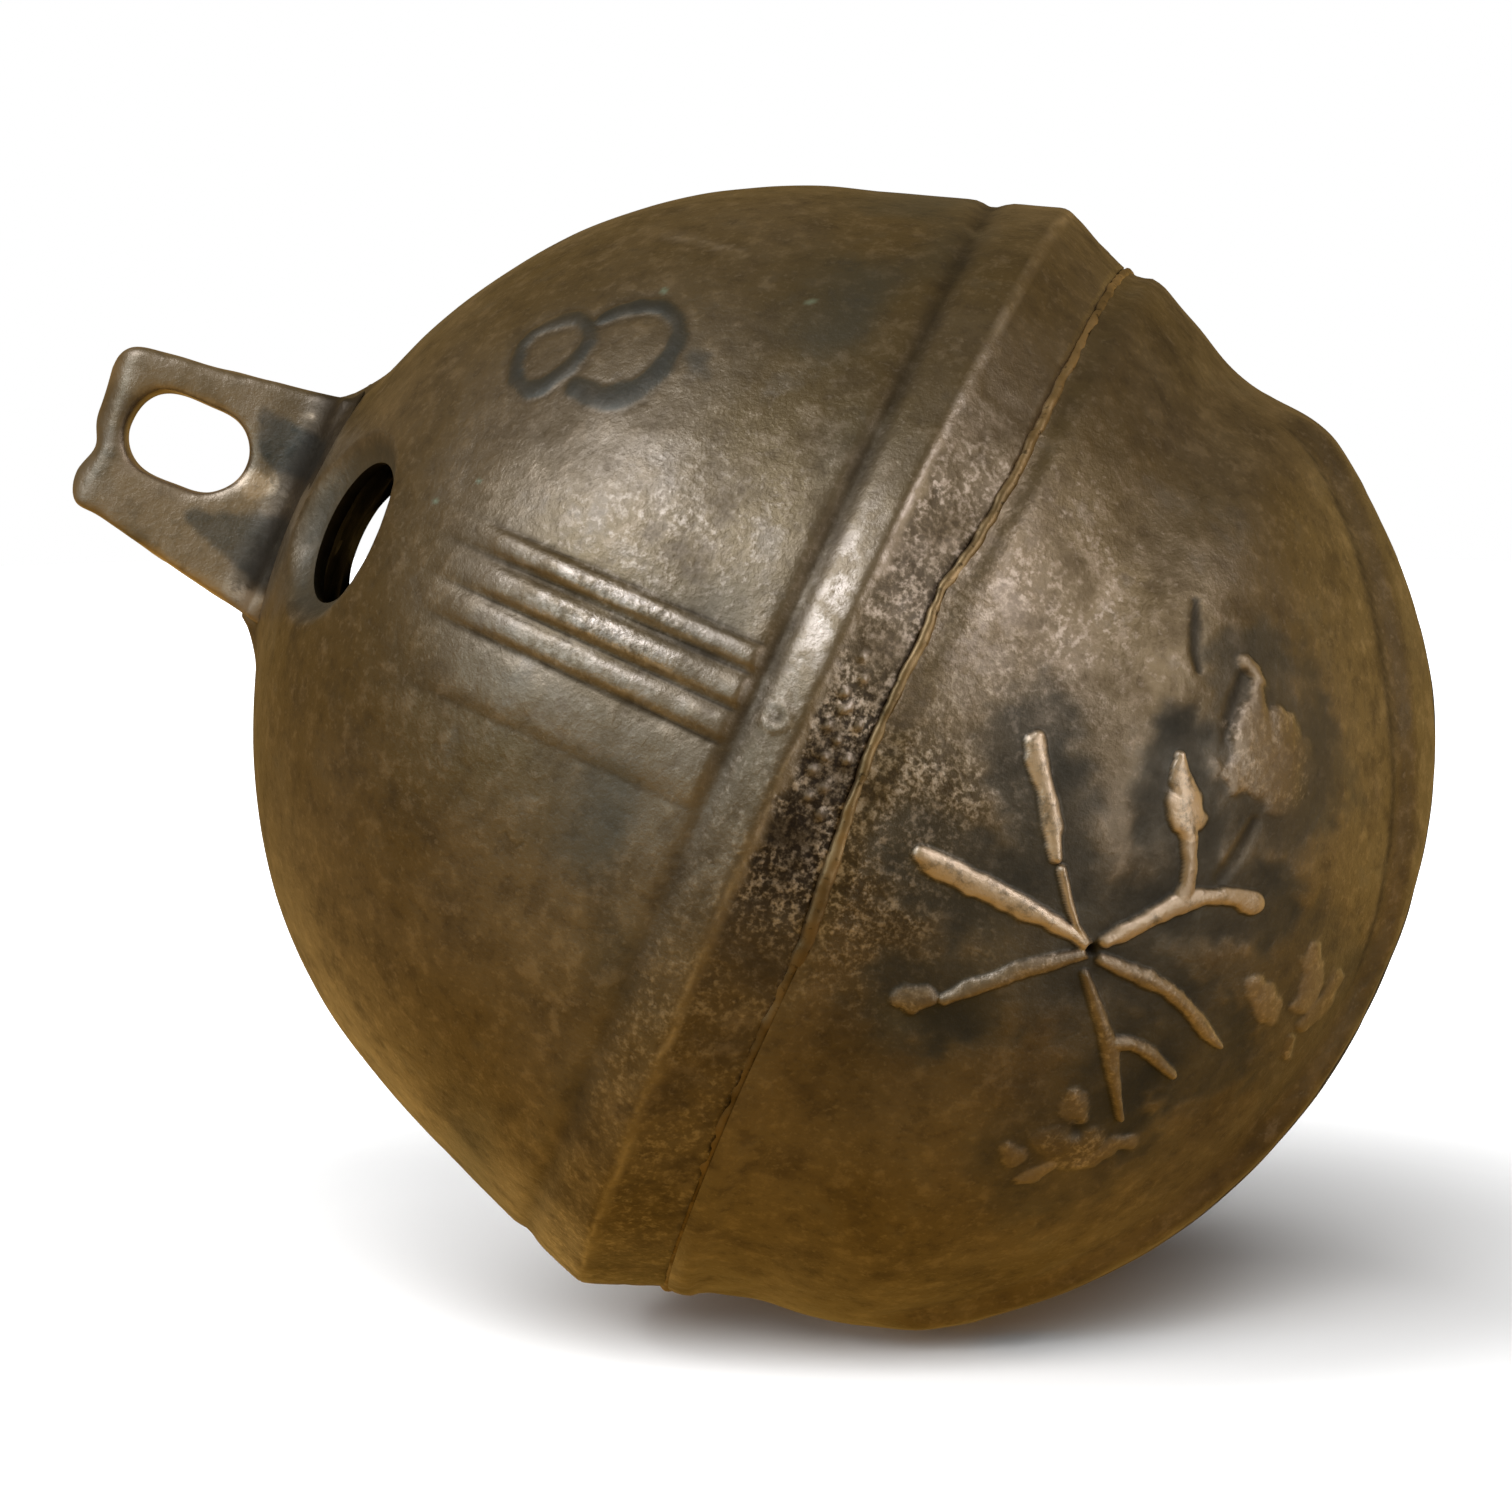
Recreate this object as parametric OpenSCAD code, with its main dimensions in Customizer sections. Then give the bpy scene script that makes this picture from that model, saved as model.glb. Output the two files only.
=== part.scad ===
// Cast rumbler bell: two brazed half shells, a strap lug on the crown and a loose ball inside.
// The bell hangs from its lug with +Z up. The origin is the middle of the lug's strap slot.

/* [Shell] */
// Outer radius of the round bowl below the seam
bowl_r = 35.7; // [33:0.1:40]
// Wall of the bowl at its round part
wall = 4.1; // [3.6:0.1:5]
// How much smaller than the bowl the crown's dome is, in radius
dome_less = 1.2; // [0.6:0.1:1.6]
// Height of the dome's centre above the bowl's centre
dome_lift = 2.7; // [2:0.1:3.4]
// Height at which the dome gives way to the straight flare
flare_top = 12.5; // [11:0.1:14]

/* [Waist band] */
// How far the band's crest stands out past the bowl's radius
band_proud = 1.1; // [0.6:0.1:2]
// Height of the band's crest
band_z = 1.3; // [0.8:0.1:2]
// Radius of the rounded crest
band_round = 1.2; // [0.6:0.1:1.6]
// Height of the turned line above the band
groove_z = 5.4; // [4.6:0.1:7]
// Radius of the turned line's round section
groove_r = 0.7; // [0.4:0.1:1]
// How much smaller than the bowl the shell is at the seam, in radius
seam_less = 0.8; // [0.4:0.1:1.2]
// Height of the seam below the bowl's centre
seam_drop = 3.7; // [3:0.1:4.5]
// Height of the straight shoulder just below the seam
shoulder_h = 1.4; // [1:0.1:2.2]
// Depth at which the hollow below the shoulder runs out into the bowl
cove_drop = 16.9; // [15:0.1:19]
// How far the hollow below the shoulder dips inside a straight cone
cove_dip = 0.4; // [0.2:0.05:0.6]
// Radius that rounds the hollow's lower edge into the bowl
cove_blend = 14; // [10:0.5:18]

/* [Seam joint] */
// Wall of the bowl's spigot that stands up inside the crown's rim
spigot_wall = 1.5; // [1.2:0.1:1.8]
// Height of the spigot above the bowl's rim
spigot_h = 3; // [2:0.1:4]
// Radial clearance of a brazed joint
braze_gap = 0.05; // [0.02:0.01:0.1]
// Height of the braze ring in the seam
braze_h = 0.5; // [0.4:0.05:0.8]
// How far the braze bead stands out of the seam
bead_proud = 0.2; // [0.1:0.05:0.25]

/* [Crown holes] */
// Radius of the two round sound holes in the crown
hole_r = 4.9; // [3:0.1:5.2]
// Angle of a sound hole from the bell's axis, about the dome's centre
hole_tilt = 25; // [24:0.5:28]
// Width of the dished rim round a sound hole
dish_w = 1.7; // [1:0.1:1.9]
// Depth of the dished rim below the dome
dish_depth = 1.2; // [0.6:0.1:1.6]

/* [Strap ribs] */
// Height of the cast ribs over the crown
rib_h = 0.35; // [0.2:0.05:0.6]
// Width of a narrow rib
rib_w = 1.9; // [1.5:0.1:2.4]
// Width of the broad outer rib
rib_wide = 4.1; // [3:0.1:5]
// Width of the groove between two ribs
rib_gap = 0.4; // [0.3:0.05:0.6]
// Number of narrow ribs beside the broad one
rib_count = 3; // [2:1:4]
// Sideways place of the first rib's outer edge
rib_edge = 4; // [3:0.1:5]
// Height of the ribs' upper ends
rib_top = 25.5; // [22:0.5:27]

/* [Mouth] */
// Width of the mouth slit
slit_w = 5.5; // [5:0.1:6.5]
// Radius of the round hole at each end of the slit
slit_end_r = 4; // [3.6:0.1:4.3]
// Angle of an end hole from the bell's axis
slit_end_tilt = 46; // [40:0.5:48]
// Width of the raised lip on each side of the slit
lip_w = 4.6; // [3:0.1:6]
// Height of the lip over the bowl
lip_h = 0.9; // [0.4:0.1:1.2]
// Angle of the lip's ends from the bell's axis
lip_end_tilt = 61; // [58:0.5:63]

/* [Strap lug] */
// Height of the strap slot's middle above the bowl's centre
slot_z = 45.4; // [44.5:0.1:48]
// Length of the strap slot along the bell's axis
slot_l = 7.9; // [7:0.1:9]
// Width of the strap slot
slot_w = 5.2; // [5:0.1:6]
// Metal between the slot and the lug's outer end
end_wall = 2.1; // [1.5:0.1:3]
// Width of the lug at its outer end
lug_end_w = 9.8; // [9.4:0.1:12]
// Width of the lug at its foot
lug_foot_w = 14.2; // [12:0.1:15]
// Sideways shift of the lug's outline from the slot's middle
lug_shift = -0.6; // [-0.8:0.1:0]
// Radius of the lug's outer corners
lug_corner_r = 2; // [1:0.1:3]
// Thickness of the lug at its outer end
lug_end_t = 4.2; // [3:0.1:5]
// Thickness of the lug at its foot
lug_foot_t = 5.6; // [4.5:0.1:7]
// Radius of the fillet between the lug and its foot
foot_fillet = 1.6; // [1:0.1:2]
// Radius of the lug's round foot
foot_r = 8; // [7.8:0.1:8.6]
// Height of the foot's cap over the dome
foot_proud = 0.3; // [0.2:0.05:0.6]
// Radius of the tang below the foot
tang_r = 4; // [3:0.1:5]

/* [Rattle ball] */
// Radius of the loose iron ball
ball_r = 8; // [7:0.1:10]
// Free space between the ball and the shell's hollow
ball_gap = 0.3; // [0.2:0.05:0.6]
// Depth of the flat left by the ball's casting stub
ball_flat = 0.3; // [0.1:0.05:0.6]

/* [Hidden] */
$fn = 96;
over = 1;
core_r = bowl_r - wall;
dome_r = bowl_r - dome_less;
dome_core_r = norm([core_r, dome_lift]);
dish_r = hole_r + dish_w;
band_r = bowl_r + band_proud;
seam_r = bowl_r - seam_less;
crown_rim_z = -seam_drop + braze_h / 2;
bowl_rim_z = -seam_drop - braze_h / 2;
spigot_r = core_r + spigot_wall;
spigot_z = bowl_rim_z + spigot_h;
reach = 2 * bowl_r;

// Radius of a circle at a height above its middle
function half_chord(r, z) = sqrt(r * r - z * z);
// Point where a line from outside touches the right side of a circle
function touch(from, c, r, side) =
    let (away = atan2(from.y - c.y, from.x - c.x))
    let (turn = acos(r / norm(from - c)))
    c + r * [cos(away + side * turn), sin(away + side * turn)];

flare_start = [half_chord(dome_r, flare_top - dome_lift), flare_top];
crest = [band_r - band_round, band_z];
flare_end = touch(flare_start, crest, band_round, -1);
rim_edge = [seam_r, crown_rim_z];
crest_end = touch(rim_edge, crest, band_round, 1);
groove_x = flare_start.x + (flare_end.x - flare_start.x) * (flare_top - groove_z) / (flare_top - flare_end.y);

cove_from = [seam_r, bowl_rim_z - shoulder_h];
cove_to = [half_chord(bowl_r, cove_drop), -cove_drop];
cove_l = norm(cove_to - cove_from);
cove_r = (cove_l * cove_l / 4 + cove_dip * cove_dip) / (2 * cove_dip);
cove_out = [cove_from.y - cove_to.y, cove_to.x - cove_from.x] / cove_l;
cove_c = (cove_from + cove_to) / 2 + cove_out * (cove_r - cove_dip);

// Arc that touches the bowl from inside and the hollow's arc from outside
blend_in = bowl_r - cove_blend;
blend_out = cove_r + cove_blend;
blend_turn = acos((norm(cove_c) ^ 2 + blend_in ^ 2 - blend_out ^ 2) / (2 * norm(cove_c) * blend_in));
blend_dir = atan2(cove_c.y, cove_c.x) - blend_turn;
blend_c = blend_in * [cos(blend_dir), sin(blend_dir)];
blend_to = bowl_r * [cos(blend_dir), sin(blend_dir)];
blend_from = cove_c + (blend_c - cove_c) * cove_r / blend_out;

seat_z = dome_lift + half_chord(dome_r, foot_r);
foot_cap_h = dome_lift + dome_r + foot_proud - seat_z;
lug_end_z = slot_z + slot_l / 2 + end_wall;
lug_h = lug_end_z - seat_z;
lug_lean = atan2((lug_foot_w - lug_end_w) / 2, lug_h);
lip_half = slit_w / 2 + lip_w;
lip_reach = bowl_r * sin(lip_end_tilt) - lip_half;
ball_orbit = core_r - ball_r - ball_gap;

// Puts a piece drawn about the bowl's centre where the slot's middle is the origin
module hung() {
    translate([0, 0, -slot_z])
        children();
}

// Space inside the shell: round about the bowl's centre below, and about the dome's centre above
module hollow() {
    sphere(core_r);
    translate([0, 0, dome_lift])
        sphere(dome_core_r);
}

// Right half of the crown's outside, raised evenly by rise
module crown_outside(rise) {
    intersection() {
        translate([0, dome_lift])
            circle(dome_r + rise);
        translate([0, flare_top])
            square(reach);
    }
    polygon([
        [0, flare_top],
        flare_start + [rise, 0],
        flare_end + [rise, 0],
        crest_end,
        rim_edge,
        [0, crown_rim_z]
    ]);
    intersection() {
        translate(crest)
            circle(band_round);
        translate([crest.x - band_round, crest_end.y])
            square([2 * band_round, flare_end.y - crest_end.y]);
    }
}

module crown_blank() {
    rotate_extrude()
        difference() {
            crown_outside(0);
            translate([groove_x, groove_z])
                circle(groove_r, $fn = 32);
        }
}

// One flat slice of the raised crown, standing along the axis
module rib(x, w) {
    intersection() {
        rotate_extrude()
            crown_outside(rib_h);
        translate([x - w, -reach, groove_z + groove_r])
            cube([w, reach, rib_top - groove_z - groove_r]);
    }
}

module strap_ribs() {
    for (i = [0 : rib_count - 1])
        rib(rib_edge - i * (rib_w + rib_gap), rib_w);
    rib(rib_edge - rib_count * (rib_w + rib_gap), rib_wide);
}

// Dished sound hole, drawn along the dome's own radius
module sound_hole() {
    translate([0, 0, dome_lift])
        rotate([hole_tilt, 0, 0]) {
            cylinder(h = reach, r = hole_r);
            translate([0, 0, half_chord(dome_r, dish_r) - dish_depth])
                cylinder(h = dish_depth + over, r1 = hole_r, r2 = dish_r + (dish_r - hole_r) * over / dish_depth);
        }
}

module crown_half() {
    color("darkgoldenrod")
        hung()
            difference() {
                union() {
                    crown_blank();
                    for (side = [0, 180])
                        rotate([0, 0, side])
                            strap_ribs();
                }
                hollow();
                translate([0, 0, crown_rim_z - over])
                    cylinder(h = spigot_z - crown_rim_z + over, r = spigot_r + braze_gap);
                translate([0, 0, seat_z])
                    cylinder(h = reach, r = reach);
                cylinder(h = reach, r = tang_r + braze_gap);
                for (side = [0, 180])
                    rotate([0, 0, side])
                        sound_hole();
            }
}

// Right half of the bowl's outside: shoulder and hollow, the round that ends it, and the round bottom
module bowl_outside() {
    difference() {
        polygon([
            [0, bowl_rim_z],
            [seam_r, bowl_rim_z],
            cove_from,
            blend_from,
            [0, blend_from.y]
        ]);
        translate(cove_c)
            circle(cove_r);
    }
    intersection() {
        translate([0, blend_to.y])
            square([reach, blend_from.y - blend_to.y]);
        union() {
            translate(blend_c)
                circle(cove_blend);
            translate([0, blend_to.y])
                square([blend_c.x, blend_from.y - blend_to.y]);
        }
    }
    intersection() {
        circle(bowl_r);
        translate([0, -reach])
            square([reach, reach + blend_to.y]);
    }
    translate([0, bowl_rim_z - over])
        square([spigot_r, spigot_h + over]);
}

// Raised field round the mouth, with round ends
module lip() {
    intersection() {
        sphere(bowl_r + lip_h);
        translate([0, 0, -reach])
            union() {
                translate([-lip_reach, -lip_half, 0])
                    cube([2 * lip_reach, 2 * lip_half, reach - cove_drop / 2]);
                for (side = [-1, 1])
                    translate([side * lip_reach, 0, 0])
                        cylinder(h = reach - cove_drop / 2, r = lip_half);
            }
    }
}

// Slit swept round the bowl's centre, with a round hole at each end
module mouth() {
    rotate([90, 0, 0])
        rotate([0, 0, -90 - slit_end_tilt])
            rotate_extrude(angle = 2 * slit_end_tilt)
                translate([core_r / 2, -slit_w / 2])
                    square([reach, slit_w]);
    for (side = [-1, 1])
        rotate([0, side * slit_end_tilt, 0])
            translate([0, 0, -reach])
                cylinder(h = reach, r = slit_end_r);
}

module bowl_half() {
    color("peru")
        hung()
            difference() {
                union() {
                    rotate_extrude()
                        bowl_outside();
                    lip();
                }
                hollow();
                mouth();
            }
}

module seam_braze() {
    color("gold")
        hung()
            rotate_extrude()
                translate([0, bowl_rim_z]) {
                    translate([spigot_r + braze_gap, 0])
                        square([seam_r - spigot_r - braze_gap, braze_h]);
                    translate([seam_r, braze_h / 2])
                        circle(bead_proud, $fn = 32);
                }
}

// Face of the lug, tapered with round outer corners
module lug_face() {
    corner = [lug_end_w / 2 - lug_corner_r, lug_h - lug_corner_r];
    side = corner + lug_corner_r * [cos(lug_lean), sin(lug_lean)];
    polygon([
        [-lug_foot_w / 2, 0],
        [lug_foot_w / 2, 0],
        side,
        [corner.x, lug_h],
        [-corner.x, lug_h],
        [-side.x, side.y]
    ]);
    for (s = [-1, 1])
        translate([s * corner.x, corner.y])
            circle(lug_corner_r);
}

// Side of the lug, tapered with a round end and filleted into its foot
module lug_side() {
    polygon([
        [-lug_foot_t / 2, 0],
        [lug_foot_t / 2, 0],
        [lug_end_t / 2, lug_h - lug_end_t / 2],
        [-lug_end_t / 2, lug_h - lug_end_t / 2]
    ]);
    translate([0, lug_h - lug_end_t / 2])
        circle(lug_end_t / 2);
    for (s = [0, 1])
        mirror([s, 0])
            difference() {
                translate([lug_foot_t / 2 - over, 0])
                    square([foot_fillet + over, foot_fillet + foot_cap_h]);
                translate([lug_foot_t / 2 + foot_fillet, foot_fillet + foot_cap_h])
                    circle(foot_fillet);
            }
}

module strap_slot() {
    slot_r = slot_w / 2;
    rotate([90, 0, 0])
        translate([0, 0, -reach])
            linear_extrude(2 * reach) {
                square([slot_w, slot_l - slot_w], center = true);
                for (s = [-1, 1])
                    translate([0, s * (slot_l / 2 - slot_r)])
                        circle(slot_r);
            }
}

module hanging_lug() {
    color("olive")
        hung()
            difference() {
                union() {
                    translate([lug_shift, 0, seat_z])
                        intersection() {
                            rotate([90, 0, 0])
                                linear_extrude(reach, center = true)
                                    lug_face();
                            rotate([90, 0, 90])
                                linear_extrude(reach, center = true)
                                    lug_side();
                        }
                    intersection() {
                        translate([0, 0, dome_lift])
                            sphere(dome_r + foot_proud);
                        translate([0, 0, seat_z])
                            cylinder(h = reach, r = foot_r);
                    }
                    cylinder(h = seat_z + over / 4, r = tang_r);
                }
                hollow();
                translate([0, 0, slot_z])
                    strap_slot();
            }
}

module rattle_ball() {
    color("dimgray")
        hung()
            translate([0, 0, -ball_orbit])
                difference() {
                    sphere(ball_r);
                    translate([-ball_r, -ball_r, ball_r - ball_flat])
                        cube([2 * ball_r, 2 * ball_r, ball_r]);
                }
}

crown_half();
bowl_half();
seam_braze();
hanging_lug();
rattle_ball();
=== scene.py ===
# %% [markdown]
# # A cast bronze rumbler bell
# The bell is a hollow round casting in two halves, brazed together below a raised band, with a strap lug on
# top, a lipped slit for a mouth and a loose iron ball inside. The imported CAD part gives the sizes. This
# lesson dresses it: every shape is worked out in millimetres from the bell's centre and then turned to
# metres, because Blender and the CAD frame both count in metres.

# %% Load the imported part
import math

import bmesh
import bpy
import numpy as np
from mathutils import Matrix, Vector


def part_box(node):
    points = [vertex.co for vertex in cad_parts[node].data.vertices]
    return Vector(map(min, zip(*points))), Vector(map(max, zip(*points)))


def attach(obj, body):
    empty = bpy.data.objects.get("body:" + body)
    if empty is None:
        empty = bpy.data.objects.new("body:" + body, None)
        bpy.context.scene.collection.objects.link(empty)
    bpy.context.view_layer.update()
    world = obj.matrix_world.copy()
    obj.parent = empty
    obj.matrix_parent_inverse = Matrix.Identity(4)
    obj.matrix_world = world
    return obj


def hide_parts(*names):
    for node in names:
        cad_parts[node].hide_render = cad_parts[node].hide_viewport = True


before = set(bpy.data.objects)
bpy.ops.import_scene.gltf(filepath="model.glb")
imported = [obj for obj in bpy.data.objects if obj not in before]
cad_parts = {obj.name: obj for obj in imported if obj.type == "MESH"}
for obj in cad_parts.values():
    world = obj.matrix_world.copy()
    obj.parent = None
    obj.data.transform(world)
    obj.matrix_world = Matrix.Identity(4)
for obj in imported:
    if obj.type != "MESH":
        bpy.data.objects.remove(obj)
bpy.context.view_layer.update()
MM = 0.001
CENTRE_Z = -45.4  # mm from the strap slot, the frame's origin, down to the centre of the round bowl

# %% [markdown]
# ## The camera
# The photograph looks square at the bell's side, with the bell's axis leaning across the picture and the
# camera a little below the band. A long lens far away keeps the lines as straight as they are there. The
# camera's three directions are worked out first, because the floor and the lights are placed from them too.

# %% Camera
PICTURE = 1512  # pixels, both ways
PX_PER_MM = 16.0
SENSOR = 36.0
AWAY = 1000.0  # mm
TIP = math.radians(3.2)  # how far the camera stands below the band
LEAN = math.radians(24.4)  # the axis's angle in the picture
AIM_RIGHT, AIM_UP = 5.44, 0.06  # mm from the picture's middle to the bell's centre

up_bell = Vector((0, -math.sin(TIP), math.cos(TIP)))
toward = Vector((0, -math.cos(TIP), -math.sin(TIP)))
right = Vector((1, 0, 0)) * math.sin(LEAN) - up_bell * math.cos(LEAN)
upward = Vector((1, 0, 0)) * math.cos(LEAN) + up_bell * math.sin(LEAN)
centre = Vector((0, 0, CENTRE_Z))


def place(obj, spot, x_axis, y_axis, z_axis):
    """Puts an object at a spot in mm, with its own axes along three directions."""
    turn = Matrix((x_axis, y_axis, z_axis)).transposed().to_4x4()
    obj.matrix_world = Matrix.Translation(spot * MM) @ turn


def add_object(name, data):
    """Puts a new object with this data in the scene."""
    made = bpy.data.objects.new(name, data)
    bpy.context.scene.collection.objects.link(made)
    return made


lens = bpy.data.cameras.new("photo_camera")
lens.sensor_width = SENSOR
lens.lens = SENSOR * AWAY * PX_PER_MM / PICTURE
lens.clip_start = 0.01
camera = add_object("photo_camera", lens)
aim = centre - right * AIM_RIGHT - upward * AIM_UP
place(camera, aim + toward * AWAY, right, upward, toward)
bpy.context.scene.camera = camera
print("lens", round(lens.lens, 1), "mm, aimed at", [round(c, 2) for c in aim])

# %% [markdown]
# ## A node helper and the colours
# Every finish below is a tree of nodes. One small function adds a node, sets what it is told, links what it
# is given and hands back one output. Colours are written as the sRGB hex values that a paint program shows,
# and one function turns them into the linear light that Blender counts in.

# %% Node and colour helpers


def linear(code):
    """An sRGB hex colour as linear RGBA."""
    parts = [int(code[i : i + 2], 16) / 255 for i in (1, 3, 5)]
    return [c / 12.92 if c <= 0.04045 else ((c + 0.055) / 1.055) ** 2.4 for c in parts] + [1.0]


def add_node(tree, kind, inputs=None, out=0, **settings):
    """Adds a node and returns its output out; inputs maps a socket to a value or to another node's output."""
    made = tree.nodes.new(kind)
    for name, value in settings.items():
        setattr(made, name, value)
    for name, value in (inputs or {}).items():
        if isinstance(value, bpy.types.NodeSocket):
            tree.links.new(value, made.inputs[name])
        else:
            made.inputs[name].default_value = value
    return made.outputs[out] if len(made.outputs) else None


def new_finish(name):
    """An empty material and its node tree."""
    made = bpy.data.materials.new(name)
    made.use_nodes = True
    made.node_tree.nodes.clear()
    return made, made.node_tree


print("a mid patina brown in linear light:", [round(c, 3) for c in linear("#6b5533")])

# %% [markdown]
# ## Room light
# The bell was photographed by soft window light from above, left and right of the camera, in a warm brown
# room. Half-polished metal shows the room it stands in, so the world is a warm gradient for everything that
# the bronze reflects, and plain pale for the camera.

# %% World
ROOM_LOW, ROOM_HIGH = "#a6813b", "#897d5d"
ROOM_STRENGTH = 1.0
ROOM_SPAN = (-0.9, 0.7)  # where along its upright the room turns from the low colour to the high one
ROOM_TILT = math.radians(33)  # the room's upright leans toward the camera by this angle
room_up = upward * math.cos(ROOM_TILT) + toward * math.sin(ROOM_TILT)

world = bpy.data.worlds.new("room")
bpy.context.scene.world = world
world.use_nodes = True
tree = world.node_tree
tree.nodes.clear()
facing = add_node(tree, "ShaderNodeTexCoord", out="Generated")
height = add_node(tree, "ShaderNodeVectorMath", {0: facing, 1: room_up}, "Value", operation="DOT_PRODUCT")
share = add_node(tree, "ShaderNodeMapRange", {"Value": height, "From Min": ROOM_SPAN[0],
                                              "From Max": ROOM_SPAN[1]})
room = add_node(tree, "ShaderNodeMix", {"Factor": share, 6: linear(ROOM_LOW), 7: linear(ROOM_HIGH)}, 2,
                data_type="RGBA")
warm = add_node(tree, "ShaderNodeBackground", {"Color": room, "Strength": ROOM_STRENGTH})
pale = add_node(tree, "ShaderNodeBackground", {"Color": linear("#ffffff"), "Strength": 1.0})
seen = add_node(tree, "ShaderNodeLightPath", out="Is Camera Ray")
both = add_node(tree, "ShaderNodeMixShader", {0: seen, 1: warm, 2: pale})
add_node(tree, "ShaderNodeOutputWorld", {"Surface": both})
world.cycles_visibility.diffuse = False  # it colours what metal reflects, and leaves the white table white
bpy.context.scene.view_settings.view_transform = "Standard"
print("room light set, leaning", round(math.degrees(ROOM_TILT)), "degrees to the view")

# %% Lamps
LAMP_AWAY = 620  # mm
LAMPS = [  # name; right, up, toward in the picture; mm across; watts; colour
    ("window_left", (-0.57, 0.67, 0.47), 280, 1.66, "#d0daf8"),
    ("window_right", (0.70, 0.45, 0.56), 300, 1.00, "#e2e4ff"),
    ("sky_left", (-0.80, 0.20, 0.56), 300, 0.38, "#bddcff"),
    ("sky_right", (0.82, -0.18, 0.54), 300, 0.62, "#d2dcf4"),
    ("table_bounce", (-0.42, -0.38, -0.82), 300, 0.14, "#ffd488"),
    ("wall_right", (0.75, 0.05, -0.66), 420, 0.22, "#f0d890"),
    ("room_left", (-0.70, -0.50, 0.50), 420, 0.12, "#e8d8b8"),
]


def add_lamp(name, direction, size, watts, colour, aim):
    """A square area lamp that faces a spot from a direction given as right, up and toward in the picture."""
    sight = (right * direction[0] + upward * direction[1] + toward * direction[2]).normalized()
    lamp = bpy.data.lights.new(name, "AREA")
    lamp.size, lamp.energy, lamp.color = size * MM, watts, linear(colour)[:3]
    held = add_object(name, lamp)
    across = upward.cross(sight).normalized()
    place(held, aim + sight * LAMP_AWAY, across, sight.cross(across), sight)
    held.visible_camera = False
    return held


bell_lamps = [add_lamp(*row, centre) for row in LAMPS]

# %% [markdown]
# ## Patinated bronze
# Cast bronze, decades old: a brown oxide skin, dirt in every hollow and warm metal rubbed bare on the high
# places. The sand of the mould left a fine grain, so its reflections break up into specks. Six numbers that
# the shapes below leave on their points steer it: a wear mark (rubbed bare, and also painted highlights on
# the band's flank, the dome, the ribs and below the seam), a dark mark (dark, dull: dirt, and also painted
# shade in creases, on the band's down-facing face, at the lug's foot and inside the hollow), slate (a cool
# grey sulphide skin), grit (a rough casting face, black with bright tips), buffed (polished pale by hands)
# and verdigris (green specks).

# %% Bronze material
MARKS = ("worn", "grime", "slate", "grit", "buffed", "verdigris")
CLOUDS = [  # name, mm across, detail, roughness; the real grain is finer than the render shows
    ("broad", 15.0, 3, 0.5), ("blotch", 4.0, 5, 0.62), ("mottle", 1.5, 6, 0.68), ("grain", 0.42, 2, 0.6),
]
SHARES = [  # name, the cloud it is read from, where it starts, where it is full, and how much that is
    ("warm", "broad", 0.36, 0.64, 1.0), ("brown", "blotch", 0.46, 0.70, 0.70),
    ("ashen", "blotch", 0.46, 0.30, 0.45), ("pale", "mottle", 0.50, 0.68, 0.50),
    ("dim", "mottle", 0.49, 0.33, 0.40), ("glint", "grain", 0.56, 0.72, 0.25),
    ("tip", "grain", 0.46, 0.70, 1.0), ("pit", "grain", 0.60, 0.36, 0.85),
    ("bare", "mottle", 0.62, 0.42, 1.0), ("caked", "blotch", 0.22, 0.50, 1.0),
    ("patchy", "blotch", 0.66, 0.38, 1.0), ("clean", "mottle", 0.68, 0.50, 1.0),
]
BROKEN = [  # name, the mark that it follows, and the share that breaks it up
    ("rubbed", "worn", "bare"), ("dirt_and_shade", "grime", "caked"), ("black", "grit", "pit"),
    ("bright", "grit", "tip"), ("buffed", "buffed", "clean"),
]
BARE_SKIN = "#908167"
# The dark dirt coat also paints shade, and the rubbed coat also paints highlights, wherever the marks under
# them carry painted light.
COATS = [  # from the bare skin up
    ("warm", "#82714f"), ("brown", "#6a5a3e"), ("ashen", "#8d8473"), ("pale", "#b8a586"), ("dim", "#55462f"),
    ("glint", "#c4b396"), ("slate", "#5f6157"), ("rubbed", "#dccbb0"), ("dirt_and_shade", "#2a2116"),
    ("black", "#29211a"), ("bright", "#e2d0b4"), ("buffed", "#f6dcb4"), ("verdigris", "#a9b8a0"),
]
DULL = 0.42  # roughness of the bare skin, and what each coat adds to it
DULLED = [("brown", 0.15), ("dim", 0.12), ("dirt_and_shade", 0.20), ("rubbed", -0.08), ("buffed", 0.02), ("slate", 0.12)]
METAL, BUFFED_METAL = 0.88, -0.12
MOTTLE_BUMP, MOTTLE_HEIGHT = 0.75, 0.15  # strength, mm
GRAIN_BUMP, GRIT_BUMP, GRAIN_HEIGHT = 0.35, 0.4, 0.06


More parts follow.
